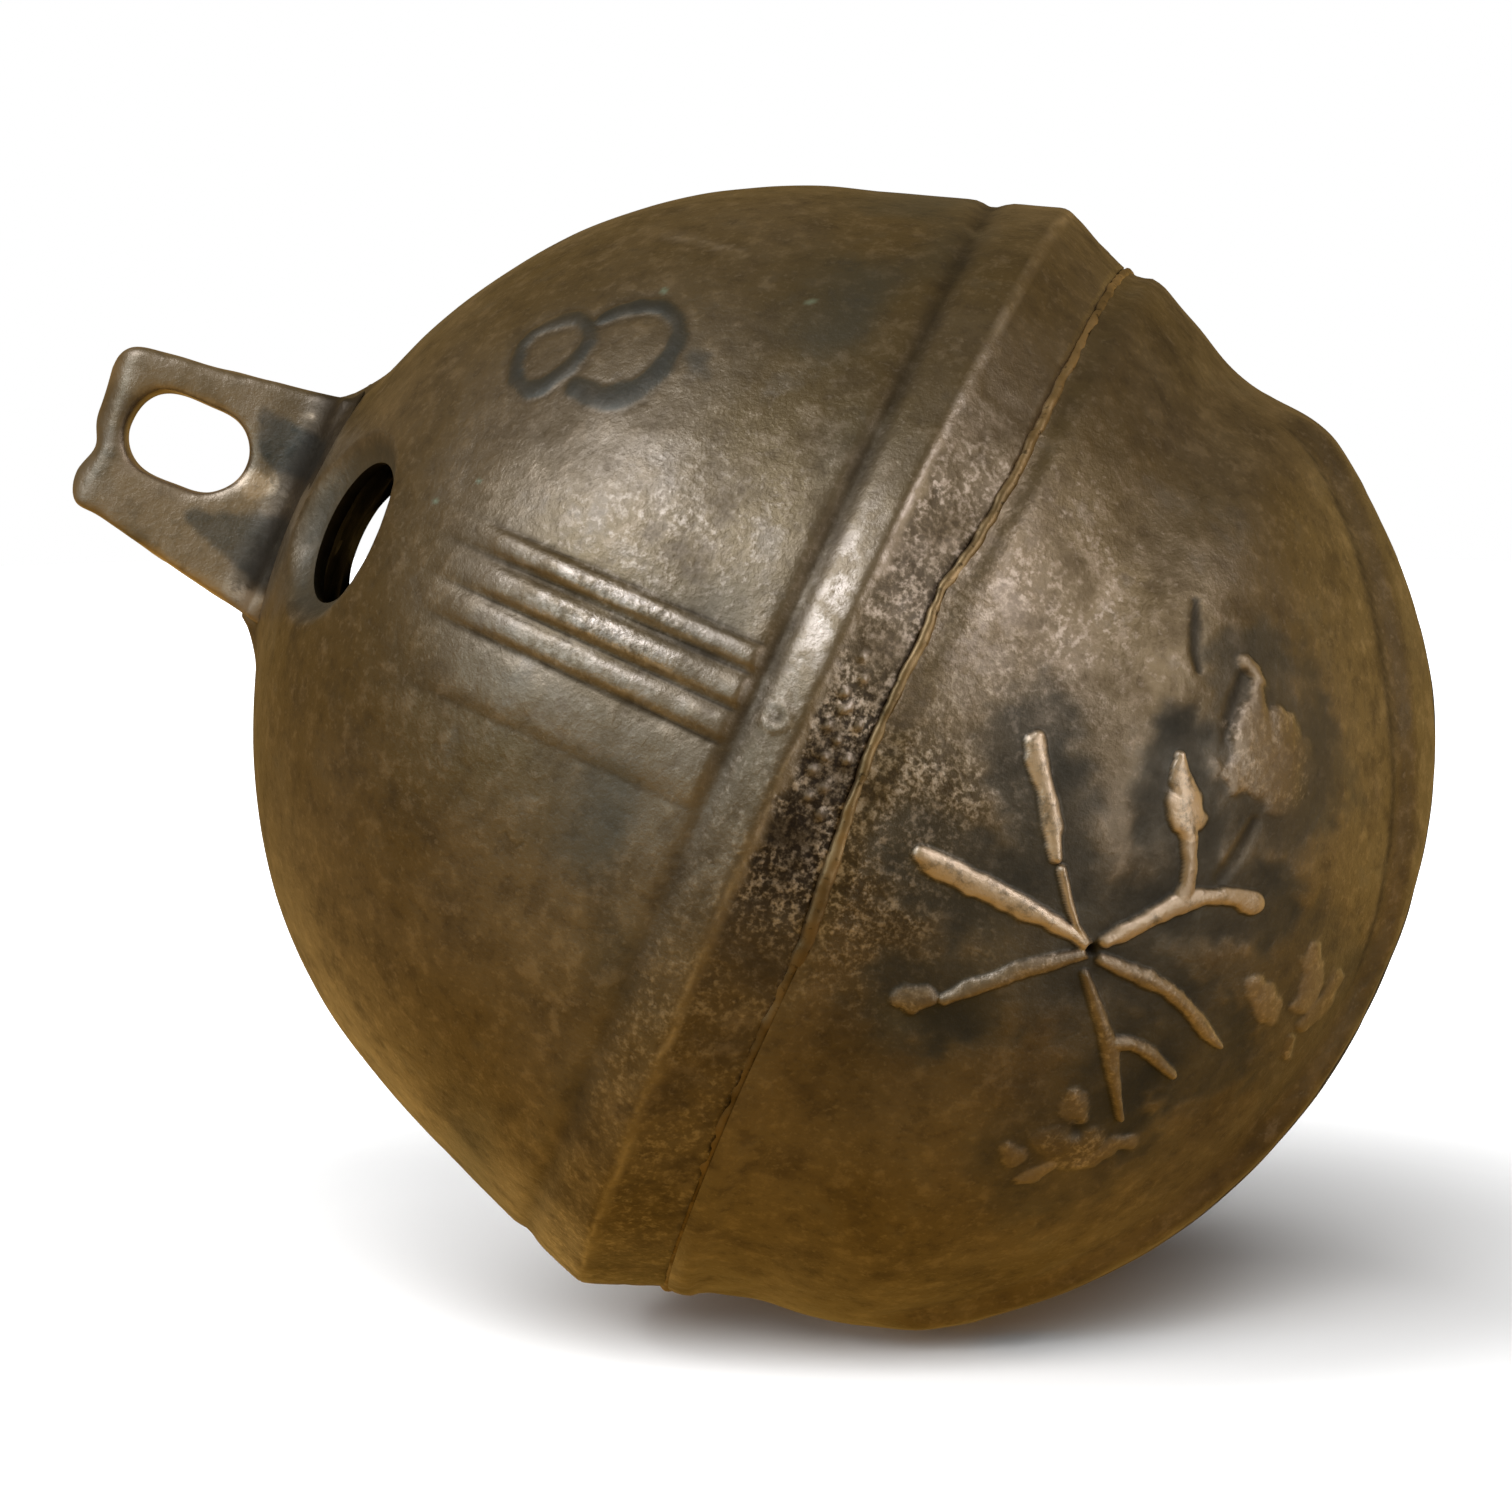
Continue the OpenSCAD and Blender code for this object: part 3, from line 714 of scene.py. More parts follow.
# The band's down-facing face below the crest is darkened, most round x = -8: painted shade.
face_shade = 0.14 + 0.5 * bump(x, -8, 7)
grime = np.max((grime, crevice_shade * crevice, face_shade * face, hollow_shade(depth)), axis=0)
lift -= SHIFT * bump(z, SHIFT_Z, SHIFT_HALF) * np.clip(-x / SHIFT_X, 0, 1) ** 2
lift += uneven(points, (1, 2, 21))
points = points + away * (lift * skin + EDGE_THIN * thin * (1 - skin))[:, None]
points[:, 2] += seam_sway(points) - SEAM_CLOSE * closed(points) * crevice
specks = [smooth((size - np.linalg.norm(sheet - (a, b), axis=1)) / 0.2) for a, b, size in VERDIGRIS]
leave(crown, points, crown_bronze, worn=worn, grime=grime, slate=slate, grit=grit,
      verdigris=np.max(specks, axis=0) * front)

# %% [markdown]
# ## The bowl
# The lower half: a shoulder under the seam, a shallow cove that turns into a round bottom, and the mouth, a
# slit with a round hole at each end and a raised lip all round it.

# %% Bowl sizes and profile
BOWL_R = 35.7
BOWL_RIM, SHOULDER_H = -3.95, 1.4
COVE_MID, COVE_R = (76.5, -24.0), 45.6
BLEND_MID, BLEND_R = (18.18, -11.85), 14.0
BLEND_FROM, BLEND_TO = (31.9, -14.7), (29.9, -19.5)
SLIT_HALF, SLIT_END_R, SLIT_TILT = 2.75, 4.0, math.radians(46)
LIP_W, LIP_SWELL, LIP_H, LIP_END = 4.0, 3.6, 0.95, math.radians(61)
BOWL_POLE = 89.4  # degrees; the profile stops just short of the axis
SPIGOT_GAP = 0.05


def bearing(middle, spot):
    """The angle in degrees of a profile point seen from a circle's middle, from 0 to 360."""
    return math.degrees(math.atan2(spot[1] - middle[1], spot[0] - middle[0])) % 360


def bowl_profile():
    """The bowl's closed section, from the rim down the outside and back up the inside."""
    start = (RIM_R, BOWL_RIM - SHOULDER_H)
    shoulder = line((RIM_R, BOWL_RIM), start, ROW_STEP)
    cove = arc(*COVE_MID, COVE_R, bearing(COVE_MID, start), bearing(COVE_MID, BLEND_FROM), ROW_STEP)
    turn = arc(*BLEND_MID, BLEND_R, bearing(BLEND_MID, BLEND_FROM), bearing(BLEND_MID, BLEND_TO), ROW_STEP)
    bottom = arc(0, 0, BOWL_R, bearing((0, 0), BLEND_TO), 360 - BOWL_POLE, ROW_STEP)
    hollow = arc(0, 0, CORE_R, -BOWL_POLE, math.degrees(math.asin(SPIGOT_TOP / CORE_R)), INNER_STEP)
    spigot = np.array([(SPIGOT_R - SPIGOT_GAP, SPIGOT_TOP), (SPIGOT_R - SPIGOT_GAP, BOWL_RIM)])
    return np.concatenate((shoulder, cove[1:], turn[1:], bottom[1:], hollow, spigot))


bowl_path = bowl_profile()
bowl = revolve("bowl_shell", bowl_path, turn_angles)
print("bowl rows:", len(bowl_path), "lowest", round(bowl_path[:, 1].min(), 2), "mm")

# %% Mouth slit
BLADE_FROM, BLADE_TO, BLADE_STEPS = 25, 42, 61  # mm from the bell's centre, from inside the hollow to outside


def slit_blade(name, half, reach_angle):
    """A flat fan-shaped blade in the XZ plane that cuts the slit."""
    swing = np.linspace(-reach_angle, reach_angle, BLADE_STEPS)
    rim = [(BLADE_TO * math.sin(a), -BLADE_TO * math.cos(a)) for a in swing]
    rim += [(BLADE_FROM * math.sin(a), -BLADE_FROM * math.cos(a)) for a in swing[::-1]]
    count = len(rim)
    spots = [(x, y, z) for y in (-half, half) for x, z in rim]
    faces = [list(range(count)), list(range(2 * count - 1, count - 1, -1))]
    faces += [[i, i + count, (i + 1) % count + count, (i + 1) % count] for i in range(count)]
    mesh = bpy.data.meshes.new(name)
    mesh.from_pydata(spots, [], faces)
    fixer = bmesh.new()
    fixer.from_mesh(mesh)
    bmesh.ops.recalc_face_normals(fixer, faces=fixer.faces)
    fixer.to_mesh(mesh)
    fixer.free()
    return add_object(name, mesh)


end_ways = [Vector((side * math.sin(SLIT_TILT), 0, -math.cos(SLIT_TILT))) for side in (-1, 1)]
cut(bowl, [slit_blade("slit", SLIT_HALF, SLIT_TILT)] + [drill("end", way, SLIT_END_R, 0) for way in end_ways])
print("bowl cut:", len(bowl.data.vertices), "points")

# %% [markdown]
# The relief on the bowl's side is a flowering spray: stems that meet in a small pit, a bud, a leaf and a
# few petals. Each stem is a stroke of points with a half width. The sheet is laid on the back as well,
# turned half round, as such bells carry the same spray on both faces.

# %% The spray's strokes
STEMS = [  # how bright its back is rubbed, and its points: x, height, half width
    (0.75, [(-4.3, -17.9, 0.26), (-3.6, -16.9, 0.24), (-2.5, -15.9, 0.26), (-1.4, -15.1, 0.29),
            (-0.9, -14.7, 0.31)]),
    (1.0, [(-0.4, -14.1, 0.46), (1.1, -13.2, 0.56), (2.3, -12.4, 0.56), (3.4, -11.6, 0.58),
           (4.6, -10.6, 0.65), (5.4, -10.1, 0.65), (5.8, -10.1, 0.43)]),
    (0.95, [(-4.5, -18.0, 0.4), (-4.2, -17.0, 0.48), (-4.0, -14.8, 0.58), (-3.9, -12.1, 0.72),
            (-3.8, -9.5, 0.76), (-3.7, -7.4, 0.72), (-3.6, -6.7, 0.58)]),
    (0.22, [(-5.0, -18.1, 0.36), (-6.2, -16.6, 0.5), (-7.4, -15.0, 0.5), (-8.7, -13.8, 0.5),
            (-9.9, -12.5, 0.46), (-11.0, -11.5, 0.34)]),
    (0.2, [(-11.3, -10.5, 0.6), (-11.9, -9.7, 0.86), (-12.1, -9.1, 0.6)]),
    (0.22, [(-6.1, -18.7, 0.26), (-7.4, -20.0, 0.36), (-8.6, -21.1, 0.44), (-9.6, -22.1, 0.55),
            (-11.1, -23.0, 0.4), (-12.3, -23.8, 0.32), (-13.2, -24.4, 0.22)]),
    (0.24, [(-9.2, -22.2, 0.48), (-8.8, -23.1, 0.42), (-8.9, -24.5, 0.46), (-9.5, -26.2, 0.3)]),
    (0.36, [(-4.9, -19.3, 0.38), (-4.9, -20.7, 0.46), (-4.8, -22.3, 0.5), (-4.9, -23.9, 0.48),
            (-5.6, -25.8, 0.46), (-6.3, -27.1, 0.4), (-6.7, -28.1, 0.26)]),
    (0.7, [(-3.8, -19.0, 0.36), (-2.8, -19.8, 0.46), (-1.6, -20.8, 0.52), (-0.1, -22.0, 0.58),
           (1.0, -23.3, 0.54), (1.7, -24.5, 0.5), (1.9, -25.5, 0.55), (2.0, -26.3, 0.72)]),
    (0.6, [(0.4, -22.3, 0.5), (1.4, -22.2, 0.4), (2.8, -21.7, 0.42), (4.1, -21.1, 0.55)]),
    (1.0, [(4.3, -20.9, 0.6), (5.1, -20.4, 1.12), (5.8, -20.0, 1.0)]),
    (1.0, [(6.2, -19.9, 0.8), (6.9, -19.4, 0.62), (7.6, -18.9, 0.44), (8.4, -18.5, 0.26)]),
]
PETALS = [
    (0.8, [(-2.4, -28.7, 0.62), (-2.9, -29.3, 0.92), (-3.6, -30.0, 0.86)]),
    (0.7, [(1.2, -31.1, 0.4), (-0.2, -31.6, 0.76), (-1.4, -31.9, 0.72), (-2.5, -31.9, 0.58)]),
    (0.45, [(0.2, -33.3, 0.4), (-1.4, -33.2, 0.52), (-3.6, -32.5, 0.4)]),
    (0.3, [(-4.5, -32.2, 0.3), (-5.6, -32.4, 0.26)]),
    (0.45, [(-13.2, -21.3, 0.6), (-13.7, -21.7, 1.0), (-14.2, -22.1, 0.72)]),
    (0.5, [(-17.7, -18.9, 0.46), (-18.2, -19.3, 0.6), (-17.7, -19.8, 0.4)]),
    (0.8, [(-19.3, -20.4, 0.28), (-18.6, -21.1, 0.44), (-17.6, -21.8, 0.34)]),
    (0.45, [(-17.0, -23.2, 0.34), (-16.2, -24.0, 0.56), (-15.2, -24.6, 0.52)]),
    (0.5, [(-14.8, -24.8, 0.46), (-14.4, -25.7, 0.38)]),
    (0.15, [(-16.4, -21.0, 0.9), (-16.4, -22.6, 1.2), (-15.4, -23.6, 0.9)]),
]
LEAF = [
    (1.0, [(15.3, -19.8, 0.42), (15.0, -20.5, 0.5), (14.5, -21.2, 0.36)]),
    (0.6, [(14.4, -21.0, 0.36), (13.5, -21.4, 0.55), (12.3, -21.8, 1.1), (10.9, -22.5, 1.7),
           (9.9, -23.6, 2.1), (9.4, -24.9, 1.9), (9.4, -25.7, 1.2)]),
    (0.4, [(13.2, -22.9, 0.5), (12.1, -23.7, 1.1), (10.9, -24.4, 1.7), (10.0, -25.0, 1.6)]),
]
VEINS = [
    [(17.5, -15.6, 0.2), (16.0, -16.2, 0.42), (14.6, -16.8, 0.44), (13.6, -17.5, 0.26)],
    [(6.7, -24.5, 0.36), (4.5, -24.3, 0.53), (2.6, -24.0, 0.43)],
    [(14.6, -20.1, 0.34), (13.0, -20.2, 0.6), (11.6, -20.4, 0.6), (10.4, -20.8, 0.36)],
    [(-14.7, -22.0, 0.4), (-15.1, -22.4, 0.5)],
]
STEM_HEIGHT, PETAL_HEIGHT, LEAF_HEIGHT = 0.38, 0.14, 0.26
STYLES = [  # strokes; height, how far the dark skin spreads, how torn the edges are, how bright the backs are
    (STEMS, STEM_HEIGHT, 1.0, 0.30, 1.0), (PETALS, PETAL_HEIGHT, 0.45, 0.55, 0.34),
    (LEAF, LEAF_HEIGHT, 0.7, 0.55, 0.34),
]
LEAF_FOOT, LEAF_SINKS = -27.6, 4.5  # the leaf sinks into the bowl over these mm above its foot
PIT, PIT_R, PIT_DEPTH = (-4.6, -18.4), 0.52, 0.55
VEIN_DEPTH, HOLLOW_DEPTH = 0.16, 0.12
HALO_W = 3.4  # mm of dark skin round the strokes
DARK_ZONES = [  # x, height, half width, half height, how dark the skin is there
    (-6, -18, 13, 8, 0.35), (30, -8, 6, 6, 0.40), (-12, -31, 6, 5, 0.35), (-12, -9, 8, 5, 0.40),
]
print(len(STEMS), "stems,", len(PETALS), "petals and", len(LEAF), "leaf lobes")

# %% Carve the bowl
FINE_NEAR, FINE_EDGE = 1.1, 0.5  # mm past a stroke where the mesh is split once, and off a stem's edge, twice
LIP_PEAK, LIP_PEAK_HALF = 0.55, 0.42  # radians from the axis, where the lip is widest
LIP_FADE, LIP_SLOPE = 0.14, 2.6
SWELL_TURN, SWELL_TURN_HALF, MOUTH_SWELL = 0.52, 0.40, 0.62  # the bowl swells beside the mouth, toward +X
RIM_LIFT, RIM_RUN = 0.22, 0.6  # the metal rises into the seam
SEAM_HIGHLIGHT = (10, -4.2, 6.5, 2.6)  # a painted highlight: a bright, rubbed oval below the seam where the light's highlight falls
LEANS = [  # height, half width, mm out at +X and in at -X: the casting isn't quite round
    (-3.2, 1.2, -0.10), (-4.7, 1.0, -0.40), (-5.6, 2.2, 0.42), (-9.3, 2.0, 0.25), (-12.0, 3.2, -0.40),
    (-15, 3, -0.45),
]


def past_strokes(points, paths):
    """How far outside points lie past the edge of the nearest stroke on their own face, in mm."""
    turned = np.where(points[:, 1:2] < 0, points, points * (-1, -1, 1))
    gap = np.min([stroke(facing_sheet(turned), path)[1] for path in paths], axis=0)
    return np.where(np.linalg.norm(points, axis=1) > CORE_R + 0.8, gap, FAR)


stem_paths = [path for rubbed, path in STEMS]
all_paths = stem_paths + VEINS + [path for rubbed, path in PETALS + LEAF]
refine(bowl, past_strokes(read_points(bowl.data), all_paths) < FINE_NEAR)
near = past_strokes(read_points(bowl.data), stem_paths)
refine(bowl, (np.abs(near) < FINE_EDGE) & (read_points(bowl.data)[:, 1] < 0))
points = read_points(bowl.data)
x, y, z = points.T
away = outward(points)
depth = np.linalg.norm(points, axis=1) - CORE_R
skin = carved_share(depth)
lift, worn, grime, slate, grit, buffed = np.zeros((6, len(points)))

swing = np.arctan2(np.abs(x), -z)
clear = np.abs(y) - SLIT_HALF
along = smooth((LIP_END + 0.06 - swing) / LIP_FADE)
width = LIP_W + LIP_SWELL * bump(swing, LIP_PEAK, LIP_PEAK_HALF) * (0.35 + 0.65 * smooth((x + 8) / 16))
lip = smooth((width + 0.6 - clear) / LIP_SLOPE) * along * (z < 0)
crease = bump(clear, width + 0.7, 0.40) * along * (0.35 + 0.65 * smooth((x + 4) / 8))
swell = bump(np.arctan2(x, -z), SWELL_TURN, SWELL_TURN_HALF) * smooth((15 - np.abs(y)) / 9) * (z < 0)
lift += LIP_H * lip * (0.72 + 0.28 * bump(clear, 2.6, 1.6)) + MOUTH_SWELL * swell
lift += RIM_LIFT * np.exp(-np.maximum(BOWL_RIM - z, 0) / RIM_RUN) * smooth((30 - np.abs(x)) / 8)
# Painted shade: the crease beside the lip is darkened, and the lip a little.
grime = np.maximum(0.6 * crease, 0.12 * lip)

ragged = 0.6 * lumps(points, 1.6, 15) + 0.5 * lumps(points, 0.7, 16)
for side, sheet in ((y < 0, facing_sheet(points)), (y > 0, facing_sheet(points * (-1, -1, 1)))):
    across, height = sheet.T
    relief, tops, halo, shade = np.zeros((4, len(points)))
    for paths, tall, spread, torn, bright in STYLES:
        fades = smooth((height - LEAF_FOOT) / LEAF_SINKS) if paths is LEAF else 1.0
        for rubbed, path in paths:
            share, beyond = stroke(sheet, path)
            back = np.clip(1 - (share * (1 + torn * ragged) / SPREAD) ** 2.2, 0, 1)
            relief = np.maximum(relief, tall * back * (0.8 + 0.2 * rubbed) * (1 + 0.15 * ragged) * fades)
            tops = np.maximum(tops, bright * rubbed * smooth((back - 0.15) / 0.40) * fades)
            halo = np.maximum(halo, spread * smooth((HALO_W * (1 + 0.5 * ragged) - beyond) / HALO_W * 1.5))
    leaf = np.min([stroke(sheet, path)[0] for rubbed, path in LEAF], axis=0)
    sunk = np.max([rounded(stroke(sheet, path)[0]) for path in VEINS], axis=0)
    pit = smooth((PIT_R - np.linalg.norm(sheet - PIT, axis=1)) / 0.35)
    hollow = halo * (1 - smooth(relief / 0.15)) * (0.8 + 0.3 * lumps(points, 2.4, 29))
    lift += (relief - HOLLOW_DEPTH * hollow - VEIN_DEPTH * sunk - PIT_DEPTH * pit) * side
    buffed = np.maximum(buffed, 0.95 * tops * side * (1 - pit) * (1 - 0.8 * sunk))
    for *zone, deep in DARK_ZONES:
        shade = np.maximum(shade, deep * oval(sheet, *zone))
    dark = np.max((0.5 * hollow, 0.6 * sunk, pit, shade * (1 - tops)), axis=0)
    grime = np.maximum(grime, dark * side)
    slate = np.maximum(slate, np.maximum(0.8 * hollow, 0.6 * sunk) * side)
    from_seam = smooth((height + 17) / 10) * smooth((24 - across) / 10) * smooth((across + 18) / 12)
    dense = 0.45 + 0.40 * smooth((6 - across) / 6) * smooth((height + 12) / 6)
    speckle = dense * from_seam * (1 - 0.8 * hollow) * (1 - tops)
    # A painted highlight below the seam.
    worn = np.maximum(worn, 0.45 * oval(sheet, *SEAM_HIGHLIGHT) * side)
    cast = np.maximum(0.40 * smooth((1.1 - leaf) / 0.3), 0.5 * smooth(relief / 0.1))
    grit = np.max((grit, speckle * side, cast * side), axis=0)

for middle, half, out in LEANS:
    lift += out * x / BOWL_R * bump(z, middle, half)
lift += 0.05 * lumps(points, 0.8, 9) * grit
lift += uneven(points, (3, 4, 26))
grime = np.maximum(grime, hollow_shade(depth))
points = points + away * (lift * skin)[:, None]
points[:, 2] += seam_sway(points)
leave(bowl, points, bowl_bronze, worn=worn, grime=grime, slate=slate, grit=grit, buffed=buffed)

# %% [markdown]
# ## The lug
# The lug was cast with a slot for a strap. A copy of the CAD lug is remeshed into small even cells and
# smoothed, which rounds every edge the way sand casting and wear do, and then pushed out of true.

# %% Lug
VOXEL = 0.24
SMOOTH_TURNS = 30
SLATE_PATCHES = [  # x, height, half width
    [(4.3, 41.6, 0.8), (3.4, 40.2, 1.5), (3.2, 38.4, 1.6)],
    [(-3.4, 43.0, 0.7), (-3.4, 41.0, 1.5), (-3.3, 39.0, 2.1), (-3.2, 37.5, 2.3)],
]
OCHRE_PATCHES = [
    [(-0.2, 41.4, 0.5), (0.1, 40.5, 0.9), (0.5, 39.6, 0.5)],
    [(5.2, 39.8, 0.2), (5.6, 38.8, 0.3)],
]
KNOB, KNOB_SPREAD = (-5.0, 50.6), 1.6  # a worn corner at x and height, and a dent beside it
NOTCH, NOTCH_SPREAD = (-2.3, 51.6), 1.5


def remeshed_copy(node, name, voxel, turns):
    """A CAD node's copy, merged, remeshed to even cells and smoothed."""
    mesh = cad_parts[node].data.copy()
    mesh.name = name
    welder = bmesh.new()
    welder.from_mesh(mesh)
    bmesh.ops.remove_doubles(welder, verts=welder.verts, dist=0.002 * MM)
    welder.to_mesh(mesh)
    welder.free()
    made = add_object(name, mesh)
    cells = made.modifiers.new("cells", "REMESH")
    cells.mode = "VOXEL"
    cells.voxel_size = voxel * MM
    cells.adaptivity = 0
    soften = made.modifiers.new("soften", "SMOOTH")
    soften.factor = 0.5
    soften.iterations = turns
    apply_modifiers(made)
    return made


lug = remeshed_copy("hanging_lug", "strap_lug", VOXEL, SMOOTH_TURNS)
points = read_points(lug.data) / MM - (0, 0, CENTRE_Z)
x, y, z = points.T
spots = np.column_stack((x, z))
knob, notch = [np.exp(-np.sum((spots - middle) ** 2, axis=1) / spread)
               for middle, spread in ((KNOB, KNOB_SPREAD), (NOTCH, NOTCH_SPREAD))]
end = smooth((z - 46) / 4)
points[:, 2] += 0.8 * smooth(x / 5) * end - 0.1 * knob - 0.7 * notch
points[:, 0] += smooth((x + 6.8) / 5) * (0.55 + 0.045 * (51 - z)) - 0.4 * knob
points[:, 0] += 0.3 * smooth((x - 1) / 4) * np.clip((z - 38) / 12, 0, 1)
waves = 0.10 * lumps(points, 4, 6) + 0.04 * lumps(points, 1.6, 7)
points += outward(points + (0, 0, CENTRE_Z)) * waves[:, None]  # out from the slot's middle
spots = np.column_stack((x, z))
wander = 0.7 * lumps(points, 2.0, 17) + 0.4 * lumps(points, 0.7, 18)
reach = 0.25 + 0.45 * wander
slate, ochre = [np.max([smooth((reach - stroke(spots, path)[1]) / 0.6) for path in paths], axis=0)
                for paths in (SLATE_PATCHES, OCHRE_PATCHES)]
top_limb = smooth((x - 1.8) / 1.2) * smooth((z - 40.5) / 2)
low_edge = smooth((-5.5 - x) / 0.8) * smooth((47 - z) / 3)
low_limb = smooth((1 - x) / 2) * smooth((z - 37.5) / 3) * (1 - 0.9 * slate)
mottled = 0.55 * smooth((lumps(points, 2.6, 30) + 0.1 + 0.5 * wander) / 0.7) * smooth((z - 43) / 3)
worn = 0.15 * top_limb + 0.12
buffed = np.max((0.95 * ochre, 0.30 * low_limb * (1 - mottled), 0.16 * top_limb, 0.45 * low_edge), axis=0)
slate = np.maximum(slate * (0.75 + 0.2 * smooth(x / 2)), mottled) * (1 - ochre) * (1 - low_edge)
# Painted shade: the lug's foot is darkened where it meets the dome.
grime = np.maximum(0.75 * smooth((40.2 - z) / 2.2) * (1 - ochre), 0.2 * slate * smooth(x / 2))
leave(lug, points, lug_bronze, worn=worn, grime=grime, slate=slate, buffed=buffed)

# %% [markdown]
# ## The brazed seam
# The halves are joined by a thin bead of braze that runs round under the band. It follows a circle, so
# Geometry Nodes sweep a small round profile along one and push it about with noise.

# %% Braze material
BRAZE_SKIN, BRAZE_DULL, BRAZE_METAL = "#b99c6c", 0.48, 0.9
BRAZE_CLOUDS = {"broad": (60, 3.0), "fine": (63, 0.5)}  # seed, mm across
BRAZE_NOISE = {"Detail": 4.0}
BRAZE_COATS = [  # a cloud or a mark, from where to where it sets in, colour
    ("broad", 0.38, 0.62, "#85704a"), ("fine", 0.58, 0.72, "#43361f"), ("grime", 0.0, 1.3, "#5c4b2f"),
]
BRAZE_PITS = (0.5, 0.08)  # how strong, and mm deep


def rough_metal(name, skin, clouds, noise, coats, pits, dull, metal):
    """A plain metal: coats over a skin, each where its cloud or mark is high, and pits from the fine cloud."""
    made, tree = new_finish(name)
    spot = add_node(tree, "ShaderNodeTexCoord", out="Object")
    sources = {}
    for label, (seed, size) in clouds.items():
        sources[label] = add_node(tree, "ShaderNodeTexNoise", {"Vector": spot, "W": seed,
                                                               "Scale": 1 / (size * MM), **noise},
                                  noise_dimensions="4D")
    colour = linear(skin)
    for label, low, high, coat in coats:
        if label not in sources:
            sources[label] = add_node(tree, "ShaderNodeAttribute", out="Fac", attribute_name=label)
        share = add_node(tree, "ShaderNodeMapRange", {"Value": sources[label], "From Min": low,
                                                      "From Max": high})
        colour = add_node(tree, "ShaderNodeMix", {"Factor": share, 6: colour, 7: linear(coat)}, 2,
                          data_type="RGBA")
    strong, deep = pits
    pitted = add_node(tree, "ShaderNodeBump", {"Height": sources["fine"], "Strength": strong,
                                               "Distance": deep * MM})
    shader = add_node(tree, "ShaderNodeBsdfPrincipled", {"Base Color": colour, "Roughness": dull,
                                                         "Metallic": metal, "Normal": pitted})
    add_node(tree, "ShaderNodeOutputMaterial", {"Surface": shader})
    return made


# Brass filler, melted into the joint: rough, ochre, a little brighter than the bronze.
braze = rough_metal("brass_braze", BRAZE_SKIN, BRAZE_CLOUDS, BRAZE_NOISE, BRAZE_COATS, BRAZE_PITS, BRAZE_DULL,
                    BRAZE_METAL)
print("finish:", braze.name)

# %% Seam bead by Geometry Nodes


def new_group(name, sizes):
    """A Geometry Nodes tree with a float input for each size; returns it with its inputs and their ids."""
    group = bpy.data.node_groups.new(name, "GeometryNodeTree")
    ids = {}
    group.interface.new_socket("Geometry", in_out="INPUT", socket_type="NodeSocketGeometry")
    for label in sizes:
        ids[label] = group.interface.new_socket(label, in_out="INPUT", socket_type="NodeSocketFloat").identifier
    group.interface.new_socket("Geometry", in_out="OUTPUT", socket_type="NodeSocketGeometry")
    return group, group.nodes.new("NodeGroupInput").outputs, ids


def finish_group(group, shape, height, finish):
    """Ends a tree: the shape at its height, with instances made real, smooth faces and one material."""
    drop = add_node(group, "ShaderNodeCombineXYZ", {"Z": height})
    lowered = add_node(group, "GeometryNodeTransform", {"Geometry": shape, "Translation": drop})
    real = add_node(group, "GeometryNodeRealizeInstances", {"Geometry": lowered})
    smooth_faces = add_node(group, "GeometryNodeSetShadeSmooth", {"Geometry": real})
    coated = add_node(group, "GeometryNodeSetMaterial", {"Geometry": smooth_faces, "Material": finish})
    add_node(group, "NodeGroupOutput", {0: coated})


def grow(name, group, ids, values):
    """Runs a tree on an empty mesh and keeps the result as a plain mesh."""
    made = add_object(name, bpy.data.meshes.new(name))
    step = made.modifiers.new("nodes", "NODES")
    step.node_group = group
    for label, value in values.items():
        step[ids[label]] = float(value)
    apply_modifiers(made)
    print(name, len(made.data.polygons), "faces")
    return made


BEAD_RING, BEAD_R, BEAD_Z = 34.84, 0.36, -3.75
BEAD_STEPS, BEAD_SIDES = 720, 12
BEAD_LUMP, BEAD_LUMP_HEIGHT = 1.5, 0.60
FADED_FROM, FADED_RUN = -2, 8  # where on its own side the bead spreads flat, and over how many mm
FADED_WIDER, FADED_CALMER = 0.5, 0.7
FADED_OUT, CLOSED_IN = 0.14, 0.36  # mm that it stands out there, and sinks where the seam is closed up
END_IN, END_FROM, END_RUN = 0.20, 24, 6  # mm that it sinks toward the sides of the bell
group, given, ids = new_group("braze_bead", ["Ring Radius", "Bead Radius", "Height", "Lump Size",
                                             "Lump Height"])
ring = add_node(group, "GeometryNodeCurvePrimitiveCircle", {"Resolution": BEAD_STEPS,
                                                            "Radius": given["Ring Radius"]})
section = add_node(group, "GeometryNodeCurvePrimitiveCircle", {"Resolution": BEAD_SIDES,
                                                               "Radius": given["Bead Radius"]})
tube = add_node(group, "GeometryNodeCurveToMesh", {"Curve": ring, "Profile Curve": section})
spot = add_node(group, "GeometryNodeInputPosition")
tight = add_node(group, "ShaderNodeMath", {0: 1.0, 1: given["Lump Size"]}, operation="DIVIDE")
rough = add_node(group, "ShaderNodeTexNoise", {"Vector": spot, "W": 4.0, "Scale": tight, "Detail": 3.0},
                 "Color", noise_dimensions="4D")
middle = add_node(group, "ShaderNodeVectorMath", {0: rough, 1: (0.5, 0.5, 0.5)}, operation="SUBTRACT")
push = add_node(group, "ShaderNodeVectorMath", {0: middle, "Scale": given["Lump Height"]}, operation="SCALE")
shaken = add_node(group, "GeometryNodeSetPosition", {"Geometry": tube, "Offset": push})
finish_group(group, shaken, given["Height"], braze)
bead = grow("braze_bead", group, ids, {"Ring Radius": BEAD_RING * MM, "Bead Radius": BEAD_R * MM,
                                       "Height": (CENTRE_Z + BEAD_Z) * MM, "Lump Size": BEAD_LUMP * MM,
                                       "Lump Height": BEAD_LUMP_HEIGHT * MM})
points = read_points(bead.data) / MM - (0, 0, CENTRE_Z)
faded = smooth((FADED_FROM - own_side(points)) / FADED_RUN)
level = points[:, 2].reshape(-1, BEAD_SIDES).mean(axis=1).repeat(BEAD_SIDES)
